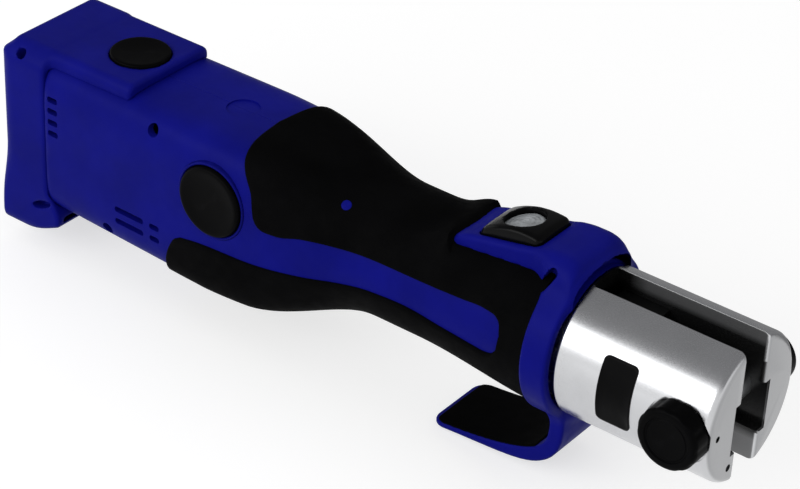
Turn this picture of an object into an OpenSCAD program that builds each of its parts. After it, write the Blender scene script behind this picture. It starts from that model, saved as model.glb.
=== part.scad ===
// In-line battery press tool: a motor housing, a round grip, a nose with a finger guard
// and a swivelling steel fork that holds the press jaws on a cross pin.
// Frame: X runs forward along the tool's axis from the battery face, Z is up, millimetres.

/* [Housing] */
// Length of the housing ahead of the battery shoe
body_l = 293; // [285:1:300]
// Width across the housing at the battery shoe
tail_w = 65; // [60:1:70]
// Height of the housing above the axis at the tail
tail_top = 36.5; // [34:0.5:38]
// Depth of the housing below the axis at the tail
tail_bottom = 42; // [40:0.5:46]
// Length from the battery shoe to the fullest section
motor_end_l = 107; // [100:1:112]
// Width across the motor end at its fullest
motor_end_w = 70; // [66:1:76]
// Height of the motor end above the axis
motor_end_top = 37; // [35:0.5:39]
// Depth of the motor end below the axis
motor_end_bottom = 46.5; // [44:0.5:50]
// Diameter of the round grip under its cover
grip_d = 60; // [58:0.5:64]
// Wall of the housing
wall = 3; // [2.4:0.1:3.4]
// Thickness of the soft grip cover
grip_t = 1.5; // [1:0.1:2]

/* [Battery shoe] */
// Thickness of the battery shoe
shoe_t = 23; // [20:0.5:24]
// Width of the battery shoe
shoe_w = 66; // [64:1:70]
// Top of the battery shoe above the axis
shoe_top = 39.5; // [38.5:0.5:41]
// Foot of the battery shoe below the axis
shoe_bottom = 57; // [54:0.5:60]
// Corner radius of the battery shoe
shoe_r = 8; // [5:0.5:10]
// Height of the saddle above the axis
saddle_top = 42; // [41.5:0.5:44]
// Width of the saddle
saddle_w = 55; // [50:1:58]

/* [Nose] */
// Length of the blue collar
collar_l = 13; // [12:0.5:15]
// Wall of the collar
collar_wall = 3; // [2.5:0.1:4]
// Width of the window hump
hump_w = 31; // [28:0.5:36]
// Rise of the window hump over the collar
hump_rise = 6.5; // [5:0.5:8]
// Length of the window hump, collar included
hump_l = 66; // [62:0.5:70]
// Width of the finger guard
guard_w = 36; // [30:0.5:40]
// Thickness of the finger guard
guard_t = 7; // [6:0.5:9]
// Depth of the guard's tail below the axis
guard_drop = 68.5; // [66:0.5:70]
// Length of the finger guard, collar included
guard_l = 66; // [62:0.5:70]

/* [Head] */
// Outside diameter of the fork
fork_d = 68; // [66:0.5:70]
// Gap between the collar and the fork
fork_gap = 2; // [1.5:0.1:3]
// Width of the jaw slot
slot_w = 18; // [17:0.5:20]
// Diameter of the jaw pin
pin_d = 14; // [12:0.5:14.5]
// Distance from the jaw pin to the fork's front end
pin_setback = 15; // [14.5:0.5:18]
// Diameter of the pin's knob
knob_d = 29; // [26:0.5:30]
// Diameter of the press rollers
roller_d = 21; // [19:0.5:21.5]
// Stroke of the ram
ram_stroke = 24; // [20:0.5:28]

/* [Drive] */
// Diameter of the motor can
motor_d = 42; // [40:0.5:43]
// Length of the motor can
motor_l = 58; // [54:0.5:60]
// Pitch diameter of the sun gear
sun_d = 12; // [11.5:0.1:12.5]
// Length of the pump block
pump_l = 80; // [74:1:84]
// Wall of the pressure cylinder
cylinder_wall = 4.5; // [4:0.1:5]

/* [Controls] */
// Diameter of the reset button
reset_d = 35; // [32:0.5:36]
// Height of the reset button above the axis
reset_z = 8; // [6:0.5:10]
// Travel of the reset button
reset_travel = 2.5; // [2:0.1:2.6]
// Diameter of the battery release button
release_d = 29; // [27:0.5:30]
// Distance from the battery shoe to the release button
release_setback = 40; // [38:0.5:42]
// Travel of the battery release button
release_travel = 2.5; // [2:0.1:2.6]
// Width of the trigger
trigger_w = 16; // [14:0.5:16.5]

/* [Hidden] */
$fn = 96;

// Overrun of every cut past the face that it leaves
over = 1;
// Gap between curved pieces that sit on each other
seat_gap = 0.15;
// Gap between pieces that slide or turn past each other
run_gap = 0.3;
// Radial clearance of a running bore
run_fit = 0.05;
// Radial clearance of a screw in its hole
screw_fit = 0.1;

// Stations along the axis, from the battery face forward
soften_lead = 5;
taper_lag = 22;
taper_l = 70;
grip_l = 23;
motor_setback = 23;
gear_plate_t = 3;
gear_gap = 1;
gear_l = 9;
carrier_room = 6;
collar_lap = 7;
slot_lag = 1.5;
web_t = 6;
journal_gap = 1.5;
journal_l = 20;
shank_l = 15.5;
carriage_gap = 3.5;
roller_lag = 16;
roller_clear = 16;
body_end = shoe_t + body_l;
motor_end_x = shoe_t + motor_end_l;
soften_x = motor_end_x - soften_lead;
taper_x = motor_end_x + taper_lag;
taper_end = taper_x + taper_l;
flare_x = taper_end + grip_l;
motor_x = shoe_t + motor_setback;
gear_x = motor_x + motor_l + gear_plate_t + gear_gap;
pump_x = gear_x + gear_l + carrier_room;
cylinder_x = pump_x + pump_l;
collar_x = body_end - collar_lap;
collar_end = collar_x + collar_l;
fork_x = collar_end + fork_gap;
slot_x = fork_x + slot_lag;
web_x = slot_x - web_t;
journal_end = web_x - journal_gap;
journal_x = journal_end - journal_l;
shank_x = web_x - shank_l;
carriage_x = slot_x + carriage_gap;
roller_x = carriage_x + roller_lag;
pin_x = roller_x + ram_stroke + roller_clear;
tool_l = pin_x + pin_setback;

// Diameters from the grip inward and from the cylinder out to the nose
pump_gap = 0.5;
bolt_land = 6.5;
journal_step = 5;
shank_wall = 4.5;
shank_gap = 2;
pump_d = grip_d - 2 * (wall + pump_gap);
cylinder_d = pump_d - 2 * bolt_land;
cylinder_bore = cylinder_d - 2 * cylinder_wall;
rod_d = slot_w - 2 * run_gap;
spring_room = (cylinder_bore - rod_d) / 2;
swivel_r = cylinder_d / 2 + journal_step;
shank_r = swivel_r + shank_wall;
nose_d = 2 * (shank_r + shank_gap + wall);
collar_d = nose_d + 2 * collar_wall;
hump_x = collar_end - hump_l;
hump_top = collar_d / 2 + hump_rise;
guard_x = collar_end - guard_l;

// Squareness of the housing's sections and fineness of its skin
tail_square = 5;
motor_square = 4.2;
round_square = 2;
skin_station_count = 40;
skin_step_count = 28;

blue = "#23269b";
black = "#141416";
steel = "#b9bbc0";
brass = "#b8923f";
board_green = "#1f5f3a";

function lerp(a, b, t) = a + (b - a) * t;
function clamp(t) = min(1, max(0, t));
function smooth(t) = let (c = clamp(t)) c * c * (3 - 2 * c);
function ramp(x, a, b) = smooth((x - a) / (b - a));
function signed_pow(v, e) = sign(v) * pow(abs(v), e);

// Housing section at a station: half width, height, depth and squareness
function rear_part(x) = clamp((x - shoe_t) / (motor_end_x - shoe_t));
function blend3(x, tail, motor, grip, nose) =
    lerp(lerp(lerp(tail, motor, rear_part(x)), grip, ramp(x, taper_x, taper_end)),
         nose, ramp(x, flare_x, body_end));
function half_w(x) = blend3(x, tail_w / 2, motor_end_w / 2, grip_d / 2, nose_d / 2);
function top_z(x) = blend3(x, tail_top, motor_end_top, grip_d / 2, nose_d / 2);
function bottom_z(x) = blend3(x, tail_bottom, motor_end_bottom, grip_d / 2, nose_d / 2);
function square_at(x) = lerp(lerp(tail_square, motor_square, rear_part(x)), round_square,
                             ramp(x, soften_x, taper_end));

// Point of the housing's skin at station x; t is 0 at the top, 90 at +Y, 180 below
function skin(x, t, out = 0) =
    let (e = 2 / square_at(x), h = (top_z(x) + bottom_z(x)) / 2)
    [x, (half_w(x) + out) * signed_pow(sin(t), e),
     (top_z(x) - bottom_z(x)) / 2 + (h + out) * signed_pow(cos(t), e)];

// Angle at which the skin passes a height z
function skin_angle(x, z) =
    let (h = (top_z(x) + bottom_z(x)) / 2, u = (z - (top_z(x) - bottom_z(x)) / 2) / h)
    acos(signed_pow(max(-1, min(1, u)), square_at(x) / 2));

// Distance of the skin from the middle plane at a height z
function skin_y(x, z) =
    let (n = square_at(x), h = (top_z(x) + bottom_z(x)) / 2, u = (z - (top_z(x) - bottom_z(x)) / 2) / h)
    half_w(x) * pow(max(0, 1 - pow(abs(u), n)), 1 / n);

// Closed solid between two grids of points of the same size
module slab_between(outer, inner) {
    m = len(outer);
    n = len(outer[0]);
    points = concat([for (row = outer) each row], [for (row = inner) each row]);
    function o(i, j) = i * n + j;
    function k(i, j) = m * n + i * n + j;
    faces = concat(
        [for (i = [0 : m - 2], j = [0 : n - 2]) each
            [[o(i, j), o(i, j + 1), o(i + 1, j + 1)], [o(i, j), o(i + 1, j + 1), o(i + 1, j)],
             [k(i, j), k(i + 1, j + 1), k(i, j + 1)], [k(i, j), k(i + 1, j), k(i + 1, j + 1)]]],
        [for (i = [0 : m - 2]) each
            [[o(i, 0), o(i + 1, 0), k(i + 1, 0)], [o(i, 0), k(i + 1, 0), k(i, 0)],
             [o(i, n - 1), k(i + 1, n - 1), o(i + 1, n - 1)],
             [o(i, n - 1), k(i, n - 1), k(i + 1, n - 1)]]],
        [for (j = [0 : n - 2]) each
            [[o(0, j), k(0, j + 1), o(0, j + 1)], [o(0, j), k(0, j), k(0, j + 1)],
             [o(m - 1, j), o(m - 1, j + 1), k(m - 1, j + 1)],
             [o(m - 1, j), k(m - 1, j + 1), k(m - 1, j)]]]);
    polyhedron(points = points, faces = faces, convexity = 6);
}

// Cylinder along X from x, with an optional second radius
module along_x(r, x, l, y = 0, z = 0, r2 = undef)
    translate([x, y, z]) rotate([0, 90, 0]) cylinder(h = l, r1 = r, r2 = is_undef(r2) ? r : r2);

// Cylinder along Y from y
module along_y(r, x, y, z, l) translate([x, y, z]) rotate([-90, 0, 0]) cylinder(h = l, r = r);

// Solid of revolution about X from [x, radius] points
module turned(profile)
    rotate([0, 90, 0]) rotate_extrude() polygon([for (p = profile) [p[1], p[0]]]);

// Side outline of [x, z] points, given a width across Y
module side_plate(outline, w)
    translate([0, w / 2, 0]) rotate([90, 0, 0]) linear_extrude(height = w) polygon(outline);

// Block between two corners
module block(a, b) translate(a) cube(b - a);

// Rounded rectangle in Y and Z, given a length along X
module slab_x(x, l, y1, y2, z1, z2, r)
    translate([x, 0, 0]) rotate([90, 0, 90]) linear_extrude(height = l) union() {
        translate([y1 + r, z1]) square([y2 - y1 - 2 * r, z2 - z1]);
        translate([y1, z1 + r]) square([y2 - y1, z2 - z1 - 2 * r]);
        for (y = [y1 + r, y2 - r], z = [z1 + r, z2 - r]) translate([y, z]) circle(r);
    }

// Coil spring along Z from 0, one unbroken tube with straight ends
module coil(r, wire_r, l, turns) {
    ring_n = 6;
    per_turn = 8;
    steps = turns * per_turn;
    function at(i) = let (a = 360 * i / per_turn)
        [r * cos(a), r * sin(a), wire_r + (l - 2 * wire_r) * i / steps];
    rings = [for (i = [0 : steps]) let (a = 360 * i / per_turn, c = at(i))
        [for (j = [0 : ring_n - 1]) let (b = 360 * j / ring_n)
            c + wire_r * [cos(b) * cos(a), cos(b) * sin(a), sin(b)]]];
    points = [for (g = rings) each g];
    last = steps * ring_n;
    faces = concat(
        [for (i = [0 : steps - 1], j = [0 : ring_n - 1])
            let (a = i * ring_n + j, b = i * ring_n + (j + 1) % ring_n) each
            [[a, b, b + ring_n], [a, b + ring_n, a + ring_n]]],
        [for (j = [1 : ring_n - 2]) [0, j + 1, j]],
        [for (j = [1 : ring_n - 2]) [last, last + j, last + j + 1]]);
    polyhedron(points = points, faces = faces, convexity = 6);
}

// Place of the reset button, over the relief valve in the pump block
reset_setback = 14;
reset_x = pump_x + reset_setback;
reset_face = half_w(reset_x);

// Screws that close the housing: station, height and boss radius
screw_r = 1.5;
screw_head_r = 3;
screw_head_t = 2.5;
boss_r = 4;
boss_slim_r = 3;
screw_bite_share = 0.75;
boss_drop = 7.85;
flange_t = 6;
tail_boss_lag = 24;
motor_boss_lead = 4.2;
grip_boss_lag = 23;
pump_boss_share = 0.675;
motor_boss_x = motor_x + motor_l - motor_boss_lead;
tail_boss_x = motor_x + tail_boss_lag;
pump_boss_x = pump_x + pump_boss_share * pump_l;
grip_boss_x = cylinder_x + flange_t + grip_boss_lag;
screw_places = [
    [motor_boss_x, top_z(motor_boss_x) - boss_drop, boss_r],
    [tail_boss_x, boss_drop - bottom_z(tail_boss_x), boss_r],
    [pump_boss_x, -(pump_d / 2 + bottom_z(pump_boss_x) - wall) / 2, boss_slim_r],
    [grip_boss_x, (cylinder_d / 2 + top_z(grip_boss_x) - wall) / 2, boss_slim_r]];
screw_sunk = 2;
function boss_l(p) = skin_y(p[0], p[1] + sign(p[1]) * p[2]) - wall / 2;

// Screws that hold the battery shoe
shoe_screw_y = 24;
shoe_screw_up = 25;
shoe_screw_down = 29;
shoe_boss_r = 5;
shoe_boss_l = 14;
shoe_screw_l = 30;
function shoe_screw_places() = [for (y = [-shoe_screw_y, shoe_screw_y],
    z = [shoe_screw_up, -shoe_screw_down]) [y, z]];

// Vent slots in both shells: rear row by the shoe and lower rows behind the grip
vent_h = 3;
vent_w = 6;
rear_vent_setback = 11;
rear_vent_x = shoe_t + rear_vent_setback;
rear_vent_z = 1;
rear_vent_step = 6;
rear_vents = 4;
side_vent_setback = 55;
side_vent_x = shoe_t + side_vent_setback;
side_vent_l = 17;
short_vent_gap = 4;
short_vent_x = side_vent_x + side_vent_l + short_vent_gap;
short_vent_l = 6;
side_vent_z = -23;
side_vent_step = 6.5;
side_vents = 2;

module vent_cuts() {
    depth = motor_end_w;
    for (i = [0 : rear_vents - 1])
        translate([rear_vent_x, 0, rear_vent_z + i * rear_vent_step])
            cube([vent_w, depth, vent_h]);
    for (i = [0 : side_vents - 1]) {
        z = side_vent_z - i * side_vent_step;
        translate([side_vent_x, 0, z]) cube([side_vent_l, depth, vent_h]);
        translate([short_vent_x, 0, z]) cube([short_vent_l, depth, vent_h]);
    }
}

// Trigger layout
trigger_gap = 1;
trigger_front = 6;
trigger_room = 8.5;
trigger_reach = 34;
trigger_depth = 11.5;
trigger_pivot_x = shank_x - trigger_front;
trigger_pivot_z = -cylinder_d / 2 - trigger_room;
trigger_pin_r = 1.5;
trigger_pin_l = 24;
trigger_rear_x = trigger_pivot_x - trigger_reach;

// Release button layout
release_rim = 1.3;
saddle_lip = 2;
latch_gap = 1;
latch_t = 3;
guide_gap = 1.5;
release_x = shoe_t + release_setback;
guide_r = release_d / 2 + run_gap + release_rim;
saddle_end = release_x + guide_r + saddle_lip;
latch_z = motor_d / 2 + release_travel + latch_gap;
guide_floor_z = latch_z + latch_t + guide_gap;
guide_floor_t = 1.5;

// Half of the housing on the +Y side, with its bosses
module shell_half() {
    xs = [for (i = [0 : skin_station_count]) lerp(shoe_t, body_end, i / skin_station_count)];
    ts = [for (j = [0 : skin_step_count]) 180 * j / skin_step_count];
    difference() {
        union() {
            slab_between([for (x = xs) [for (t = ts) skin(x, t)]],
                         [for (x = xs) [for (t = ts) skin(x, t, -wall)]]);
            for (p = screw_places) along_y(p[2], p[0], 0, p[1], boss_l(p));
            for (z = [shoe_screw_up, -shoe_screw_down])
                along_x(shoe_boss_r, shoe_t, shoe_boss_l, shoe_screw_y, z);
        }
        for (p = screw_places)
            along_y(screw_r + screw_fit, p[0], -over, p[1], screw_bite_share * boss_l(p) + over);
        for (z = [shoe_screw_up, -shoe_screw_down])
            along_x(screw_r + screw_fit, shoe_t - over, shoe_boss_l + over, shoe_screw_y, z);
        vent_cuts();
        translate([release_x, 0, guide_floor_z]) cylinder(h = saddle_top, r = guide_r + seat_gap);
        block([trigger_rear_x - trigger_gap, -over, -nose_d],
              [shank_x, trigger_w / 2 + trigger_gap, -cylinder_d / 2]);
        along_y(trigger_pin_r + screw_fit, trigger_pivot_x, -over, trigger_pivot_z,
                trigger_pin_l / 2 + screw_fit + over);
    }
}

module left_shell() color(blue) shell_half();

module right_shell() color(blue) difference() {
    mirror([0, 1, 0]) shell_half();
    along_y(reset_cup_r + seat_gap, reset_x, -motor_end_w, reset_z, motor_end_w - wall * 2);
    for (p = screw_places) {
        along_y(screw_r + screw_fit, p[0], -motor_end_w, p[1], motor_end_w + over);
        along_y(screw_head_r + screw_fit, p[0], -motor_end_w, p[1], motor_end_w - boss_l(p) + screw_sunk);
    }
}

module shell_screws() color(steel) for (p = screw_places) {
    head_y = screw_sunk - boss_l(p);
    along_y(screw_head_r, p[0], head_y - screw_head_t, p[1], screw_head_t);
    along_y(screw_r, p[0], head_y - screw_head_t, p[1],
            screw_bite_share * boss_l(p) - head_y + screw_head_t - screw_fit);
}

// Soft grip cover: edges of the blue side stripe as [station, height] shares of body length
// and grip radius, and the covers' rear edges
stripe_top_shares = [[0.49, 0.02], [0.535, 0.06], [0.64, 0.31], [0.73, 0.41], [0.80, 0.42],
                     [0.865, 0.44], [0.895, 0.45], [0.915, 0.40], [0.928, 0.27], [0.932, 0.205]];
stripe_low_shares = [[0.345, -0.77], [0.40, -0.71], [0.496, -0.64], [0.59, -0.46], [0.66, -0.26],
                     [0.712, -0.15], [0.765, -0.11], [0.834, -0.18], [0.895, -0.19],
                     [0.915, -0.10], [0.928, 0.10], [0.932, 0.195]];
cover_end = collar_x - seat_gap * 2;
upper_rear_lag = 23;
upper_low_lag = 40;
lower_rear_lead = 24;
upper_rear_x = motor_end_x + upper_rear_lag;
upper_low_x = motor_end_x + upper_low_lag;
lower_rear_x = motor_end_x - lower_rear_lead;
cover_step_count = 14;
upper_station_count = 24;
lower_station_count = 52;

function in_table(table, x) =
    x <= table[0][0] ? table[0][1] :
    x >= table[len(table) - 1][0] ? table[len(table) - 1][1] :
    let (i = [for (k = [0 : len(table) - 2]) if (x >= table[k][0] && x < table[k + 1][0]) k][0])
    lerp(table[i][1], table[i + 1][1], (x - table[i][0]) / (table[i + 1][0] - table[i][0]));
function stripe_top(x) = grip_d / 2 * in_table(stripe_top_shares, x / body_end);
function stripe_low(x) = grip_d / 2 * in_table(stripe_low_shares, x / body_end);

// Grid over the top: v runs from one lower edge over the top to the other
function upper_grid(out) = [for (i = [0 : upper_station_count])
    [for (j = [-cover_step_count : cover_step_count])
    let (v = j / cover_step_count,
         x0 = lerp(upper_rear_x, upper_low_x, pow(abs(v), 4)),
         x = lerp(x0, cover_end, i / upper_station_count))
    skin(x, v * skin_angle(x, stripe_top(x)), out)]];

// Grid underneath: v runs from one upper edge under the belly to the other
function lower_grid(out) = [for (i = [0 : lower_station_count])
    [for (j = [-cover_step_count : cover_step_count])
    let (v = j / cover_step_count, x = lerp(lower_rear_x, cover_end, i / lower_station_count),
         a = skin_angle(x, stripe_low(x)))
    skin(x, 180 + v * (180 - a), out)]];

module upper_grip() color(black) slab_between(upper_grid(grip_t), upper_grid(2 * seat_gap));

module lower_grip() color(black) difference() {
    slab_between(lower_grid(grip_t), lower_grid(2 * seat_gap));
    block([trigger_rear_x - trigger_gap, -trigger_w / 2 - trigger_gap, -nose_d],
          [shank_x, trigger_w / 2 + trigger_gap, -cylinder_d / 2]);
}

// Battery shoe with its saddle, rails, terminal recess and latch window
shoe_floor = 4;
cavity_w = 36;
cavity_top = 34.5;
cavity_bottom = 36;
cavity_r = 3;
rail_y = 26;
rail_w = 5;
rail_lip = 3;
rail_depth = 7;
rail_undercut = 3;
rail_top = 18;
terminal_w = 22;
terminal_z = -34;
terminal_h = 20;
terminal_depth = 13;
latch_w = 18;
latch_window_low = 21.5;
latch_window_high = 36;
saddle_low = 20;
saddle_r = 4;

module skin_core(x1, x2, out) {
    m = 8;
    n = 2 * skin_step_count;
    rings = [for (i = [0 : m]) [for (j = [0 : n - 1]) skin(lerp(x1, x2, i / m), 360 * j / n, out)]];
    last = m * n;
    faces = concat(
        [for (i = [0 : m - 1], j = [0 : n - 1])
            let (a = i * n + j, b = i * n + (j + 1) % n) each [[a, b, b + n], [a, b + n, a + n]]],
        [for (j = [1 : n - 2]) [0, j + 1, j]],
        [for (j = [1 : n - 2]) [last, last + j, last + j + 1]]);
    polyhedron(points = [for (g = rings) each g], faces = faces, convexity = 4);
}

// Corner of the shoe's plan that is cut back at both sides of the battery face
shoe_bevel = 4;
module shoe_bevel_cuts() for (s = [-1, 1]) translate([0, 0, -shoe_bottom - over])
    linear_extrude(height = shoe_bottom + shoe_top + 2 * over)
        polygon([[-over, s * (shoe_w / 2 - shoe_bevel - over)], [shoe_bevel + over, s * (shoe_w / 2 + over)],
                 [-over, s * (shoe_w / 2 + over)]]);

module battery_shoe() color(blue) difference() {
    union() {
        slab_x(0, shoe_t, -shoe_w / 2, shoe_w / 2, -shoe_bottom, shoe_top, shoe_r);
        slab_x(shoe_t / 2, saddle_end - shoe_t / 2, -saddle_w / 2, saddle_w / 2,
               saddle_low, saddle_top, saddle_r);
    }
    skin_core(shoe_t, saddle_end + over, seat_gap);
    shoe_bevel_cuts();
    slab_x(shoe_floor, shoe_t, -cavity_w / 2, cavity_w / 2, -cavity_bottom, cavity_top, cavity_r);
    block([-over, -latch_w / 2 - run_gap, latch_window_low],
          [shoe_floor + over, latch_w / 2 + run_gap, latch_window_high]);
    for (s = [-1, 1]) {
        block([-over, s * rail_y - rail_w / 2, -shoe_bottom - over],
              [rail_depth, s * rail_y + rail_w / 2, rail_top]);
        block([rail_lip, s * (rail_y - rail_undercut / 2) - (rail_w + rail_undercut) / 2,
               -shoe_bottom - over],
              [rail_depth, s * (rail_y - rail_undercut / 2) + (rail_w + rail_undercut) / 2, rail_top]);
    }
    block([-over, -terminal_w / 2, terminal_z - terminal_h / 2],
          [terminal_depth, terminal_w / 2, terminal_z + terminal_h / 2]);
    translate([release_x, 0, 0]) {
        cylinder(h = saddle_top - release_rim * 2, r = guide_r + seat_gap);
        cylinder(h = saddle_top + over, r = release_d / 2 + run_gap);
    }
    for (p = shoe_screw_places()) {
        along_x(screw_r + screw_fit, -over, shoe_t + 2 * over, p[0], p[1]);
        along_x(screw_head_r + screw_fit, -over, rail_depth + screw_head_t + over, p[0], p[1]);
    }
}

module shoe_screws() color(steel) for (p = shoe_screw_places()) {
    along_x(screw_head_r, rail_depth, screw_head_t, p[0], p[1]);
    along_x(screw_r, rail_depth, shoe_screw_l - rail_depth, p[0], p[1]);
}

blade_t = 1.2;
blade_h = 13;
blades = 4;
blade_sunk = 1.5;
module battery_terminals() color(brass) {
    block([terminal_depth - rail_lip, -terminal_w / 2 + seat_gap, terminal_z - terminal_h / 2 + seat_gap],
          [terminal_depth, terminal_w / 2 - seat_gap, terminal_z + terminal_h / 2 - seat_gap]);
    for (i = [0 : blades - 1]) {
        y = (i - (blades - 1) / 2) * terminal_w / blades;
        block([blade_sunk, y - blade_t / 2, terminal_z - blade_h / 2],
              [terminal_depth, y + blade_t / 2, terminal_z + blade_h / 2]);
    }
}

// Window hump and collar. Side outline as shares of its length and of its rise
hump_low = 20;
hump_shares = [[0, 0], [0, 0.43], [0.03, 0.50], [0.09, 0.61], [0.167, 0.70], [0.65, 0.90],
               [0.74, 0.985], [0.80, 1], [0.93, 1], [0.975, 0.97], [1, 0.86], [1, 0]];
hump_edge = 5;
collar_edge = 1;
mouth_lip = 1.3;
mouth_l = 3;
mouth_r = nose_d / 2 - mouth_lip;
bore_step_count = 6;

// Guard centre line: collar foot, knee, heel and tail, as a smooth curve of four points
guard_knee_in = 1;
guard_heel_in = 18;
guard_foot = [collar_end - guard_t / 2, -nose_d / 2];
guard_knee = [collar_end - guard_knee_in, -guard_drop + guard_t];
guard_heel = [collar_end - guard_heel_in, -guard_drop + guard_t];
guard_tail = [guard_x, -guard_drop + guard_t / 2];
guard_step_count = 14;
function bezier(t) = pow(1 - t, 3) * guard_foot + 3 * pow(1 - t, 2) * t * guard_knee
    + 3 * (1 - t) * t * t * guard_heel + pow(t, 3) * guard_tail;
function slope(t) = 3 * pow(1 - t, 2) * (guard_knee - guard_foot)
    + 6 * (1 - t) * t * (guard_heel - guard_knee) + 3 * t * t * (guard_tail - guard_heel);
function side_of(t) = let (d = slope(t) / norm(slope(t))) [-d[1], d[0]];
function guard_edge(side, t0, t1) = [for (i = [0 : guard_step_count])
    let (t = lerp(t0, t1, i / guard_step_count)) bezier(t) + side * side_of(t)];
function guard_band(a, b, t0 = 0, t1 = 1) = concat(guard_edge(a, t0, t1), guard_edge(b, t1, t0));
liner_t = 1.6;
liner_from_share = 0.42;
liner_to_share = 0.97;

// Plan of the guard: a bar with round corners at its tail
guard_r = 7;
module guard_plan(w, tail_x, z_low, h) translate([0, 0, z_low]) linear_extrude(height = h) union() {
    translate([tail_x + guard_r, -w / 2]) square([collar_end - tail_x - guard_r, w]);
    translate([tail_x, -w / 2 + guard_r]) square([collar_end - tail_x, w - 2 * guard_r]);
    for (y = [-w / 2 + guard_r, w / 2 - guard_r]) translate([tail_x + guard_r, y]) circle(guard_r);
}

// Outline of the hump across the tool, with its long top edges cut back
module hump_section() translate([hump_x - over, 0, 0]) rotate([90, 0, 90])
    linear_extrude(height = collar_end - hump_x + 2 * over) polygon([
        [-hump_w / 2, hump_low], [hump_w / 2, hump_low], [hump_w / 2, hump_top - hump_edge],
        [hump_w / 2 - hump_edge / 3, hump_top - hump_edge / 3], [hump_w / 2 - hump_edge, hump_top],
        [-hump_w / 2 + hump_edge, hump_top], [-hump_w / 2 + hump_edge / 3, hump_top - hump_edge / 3],
        [-hump_w / 2, hump_top - hump_edge]]);

// Shoulders from the hump's front down into the collar
visor_w = 24;
visor_sink = 1;
visor_top = hump_top - visor_sink / 2;
visor_turn = atan2(visor_w / 2, visor_top) + acos(collar_d / 2 / norm([visor_w / 2, visor_top]));
visor_foot = (collar_d / 2 - visor_sink) * [sin(visor_turn), cos(visor_turn)];
module visor() translate([collar_x + visor_sink, 0, 0]) rotate([90, 0, 90])
    linear_extrude(height = collar_l - collar_edge - 2 * visor_sink)
        polygon([[-visor_foot[0], visor_foot[1]], [visor_foot[0], visor_foot[1]],
                 [visor_w / 2, visor_top], [-visor_w / 2, visor_top]]);

// Domed window: a deep black bezel in the hump, its round top fullest ahead of the middle
bezel_setback = 55;
bezel_x = collar_end - bezel_setback;
bezel_l = 32;
bezel_w = 25;
bezel_deep = 7.5;
bezel_wall = 4;
bezel_rise = 1.6;
bezel_z = hump_top - bezel_deep;
dome_r = 28;
dome_share = 0.62;
lens_d = 16;
lens_share = 0.47;
lens_rise = 0.5;
board_t = 1.6;

module nose_collar() color(blue) difference() {
    union() {
        turned([[collar_x, 0], [collar_x, collar_d / 2], [collar_end - collar_edge, collar_d / 2],
                [collar_end, collar_d / 2 - collar_edge], [collar_end, 0]]);
        intersection() {
            side_plate([for (s = hump_shares) [lerp(hump_x, collar_end, s[0]),
                                               lerp(hump_low, hump_top, s[1])]], hump_w);
            hump_section();
        }
        visor();
        intersection() {
            side_plate(guard_band(-guard_t / 2, guard_t / 2), guard_w);
            guard_plan(guard_w, guard_x, -guard_drop - over, guard_drop);
        }
    }
    turned(concat(
        [[hump_x - over, 0]],
        [for (i = [0 : bore_step_count]) let (x = lerp(hump_x - over, collar_x, i / bore_step_count))
            [x, half_w(x) + grip_t + seat_gap]],
        [[collar_x, nose_d / 2 + seat_gap], [collar_end - mouth_l, nose_d / 2 + seat_gap],
         [collar_end - mouth_l, mouth_r], [collar_end + over, mouth_r], [collar_end + over, 0]]));
    bezel_pocket();
    block([trigger_rear_x, -trigger_w / 2 - trigger_gap, -nose_d / 2 - grip_t],
          [shank_x, trigger_w / 2 + trigger_gap, -cylinder_d / 2]);
}

module bezel_pocket()
    block([bezel_x - seat_gap, -bezel_w / 2 - seat_gap, bezel_z - seat_gap],
          [bezel_x + bezel_l + seat_gap, bezel_w / 2 + seat_gap, hump_top + over]);

module guard_liner() color(black) intersection() {
    side_plate(guard_band(-guard_t / 2 - seat_gap, -guard_t / 2 - liner_t, liner_from_share, liner_to_share),
               guard_w - liner_t * 2);
    guard_plan(guard_w - liner_t * 2, guard_x + liner_t, -guard_drop - over, guard_drop);
}

// Round bar across the tool that gives the window its dome
module dome(r)
    along_y(r, bezel_x + dome_share * bezel_l, -bezel_w, hump_top + bezel_rise - dome_r, bezel_w * 2);

// Block in the window's plan, set in from the bezel's sides
module window_block(inset, z, h)
    block([bezel_x + inset, -bezel_w / 2 + inset, z], [bezel_x + bezel_l - inset, bezel_w / 2 - inset, z + h]);

module window_bezel() color(black) difference() {
    intersection() {
        window_block(0, bezel_z, bezel_deep + bezel_rise);
        dome(dome_r);
    }
    window_block(bezel_wall, bezel_z - over, board_t + over);
    translate([bezel_x + lens_share * bezel_l, 0, bezel_z])
        cylinder(h = bezel_deep * 2, r = lens_d / 2 + screw_fit);
}

module window_lens() color("#d9dde0") intersection() {
    translate([bezel_x + lens_share * bezel_l, 0, bezel_z + board_t])
        cylinder(h = bezel_deep * 2, r = lens_d / 2);
    dome(dome_r + lens_rise);
}

module light_board() color(board_green) window_block(bezel_wall + seat_gap, bezel_z, board_t);

// Motor
can_t = 2;
magnet_t = 3;
air_gap = 0.6;
shaft_r = 2.5;
bush_r = 5;
bush_l = 5;
end_cap_t = 5;
rotor_core_r = motor_d / 2 - can_t - magnet_t - air_gap;
rotor_end = 8;
magnet_angle = 150;

module motor_can() color(steel) difference() {
    along_x(motor_d / 2, motor_x, motor_l);
    along_x(motor_d / 2 - can_t, motor_x - over, motor_l - bush_l + over);
    along_x(bush_r, motor_x, motor_l + over);
}

module motor_magnets() color("#3a3a3e")
    for (a = [0, 180]) rotate([a, 0, 0]) translate([motor_x + end_cap_t, 0, 0]) rotate([0, 90, 0])
        rotate_extrude(angle = magnet_angle) translate([motor_d / 2 - can_t - magnet_t, 0])
            square([magnet_t - seat_gap, motor_l - 2 * end_cap_t - bush_l]);

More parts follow.
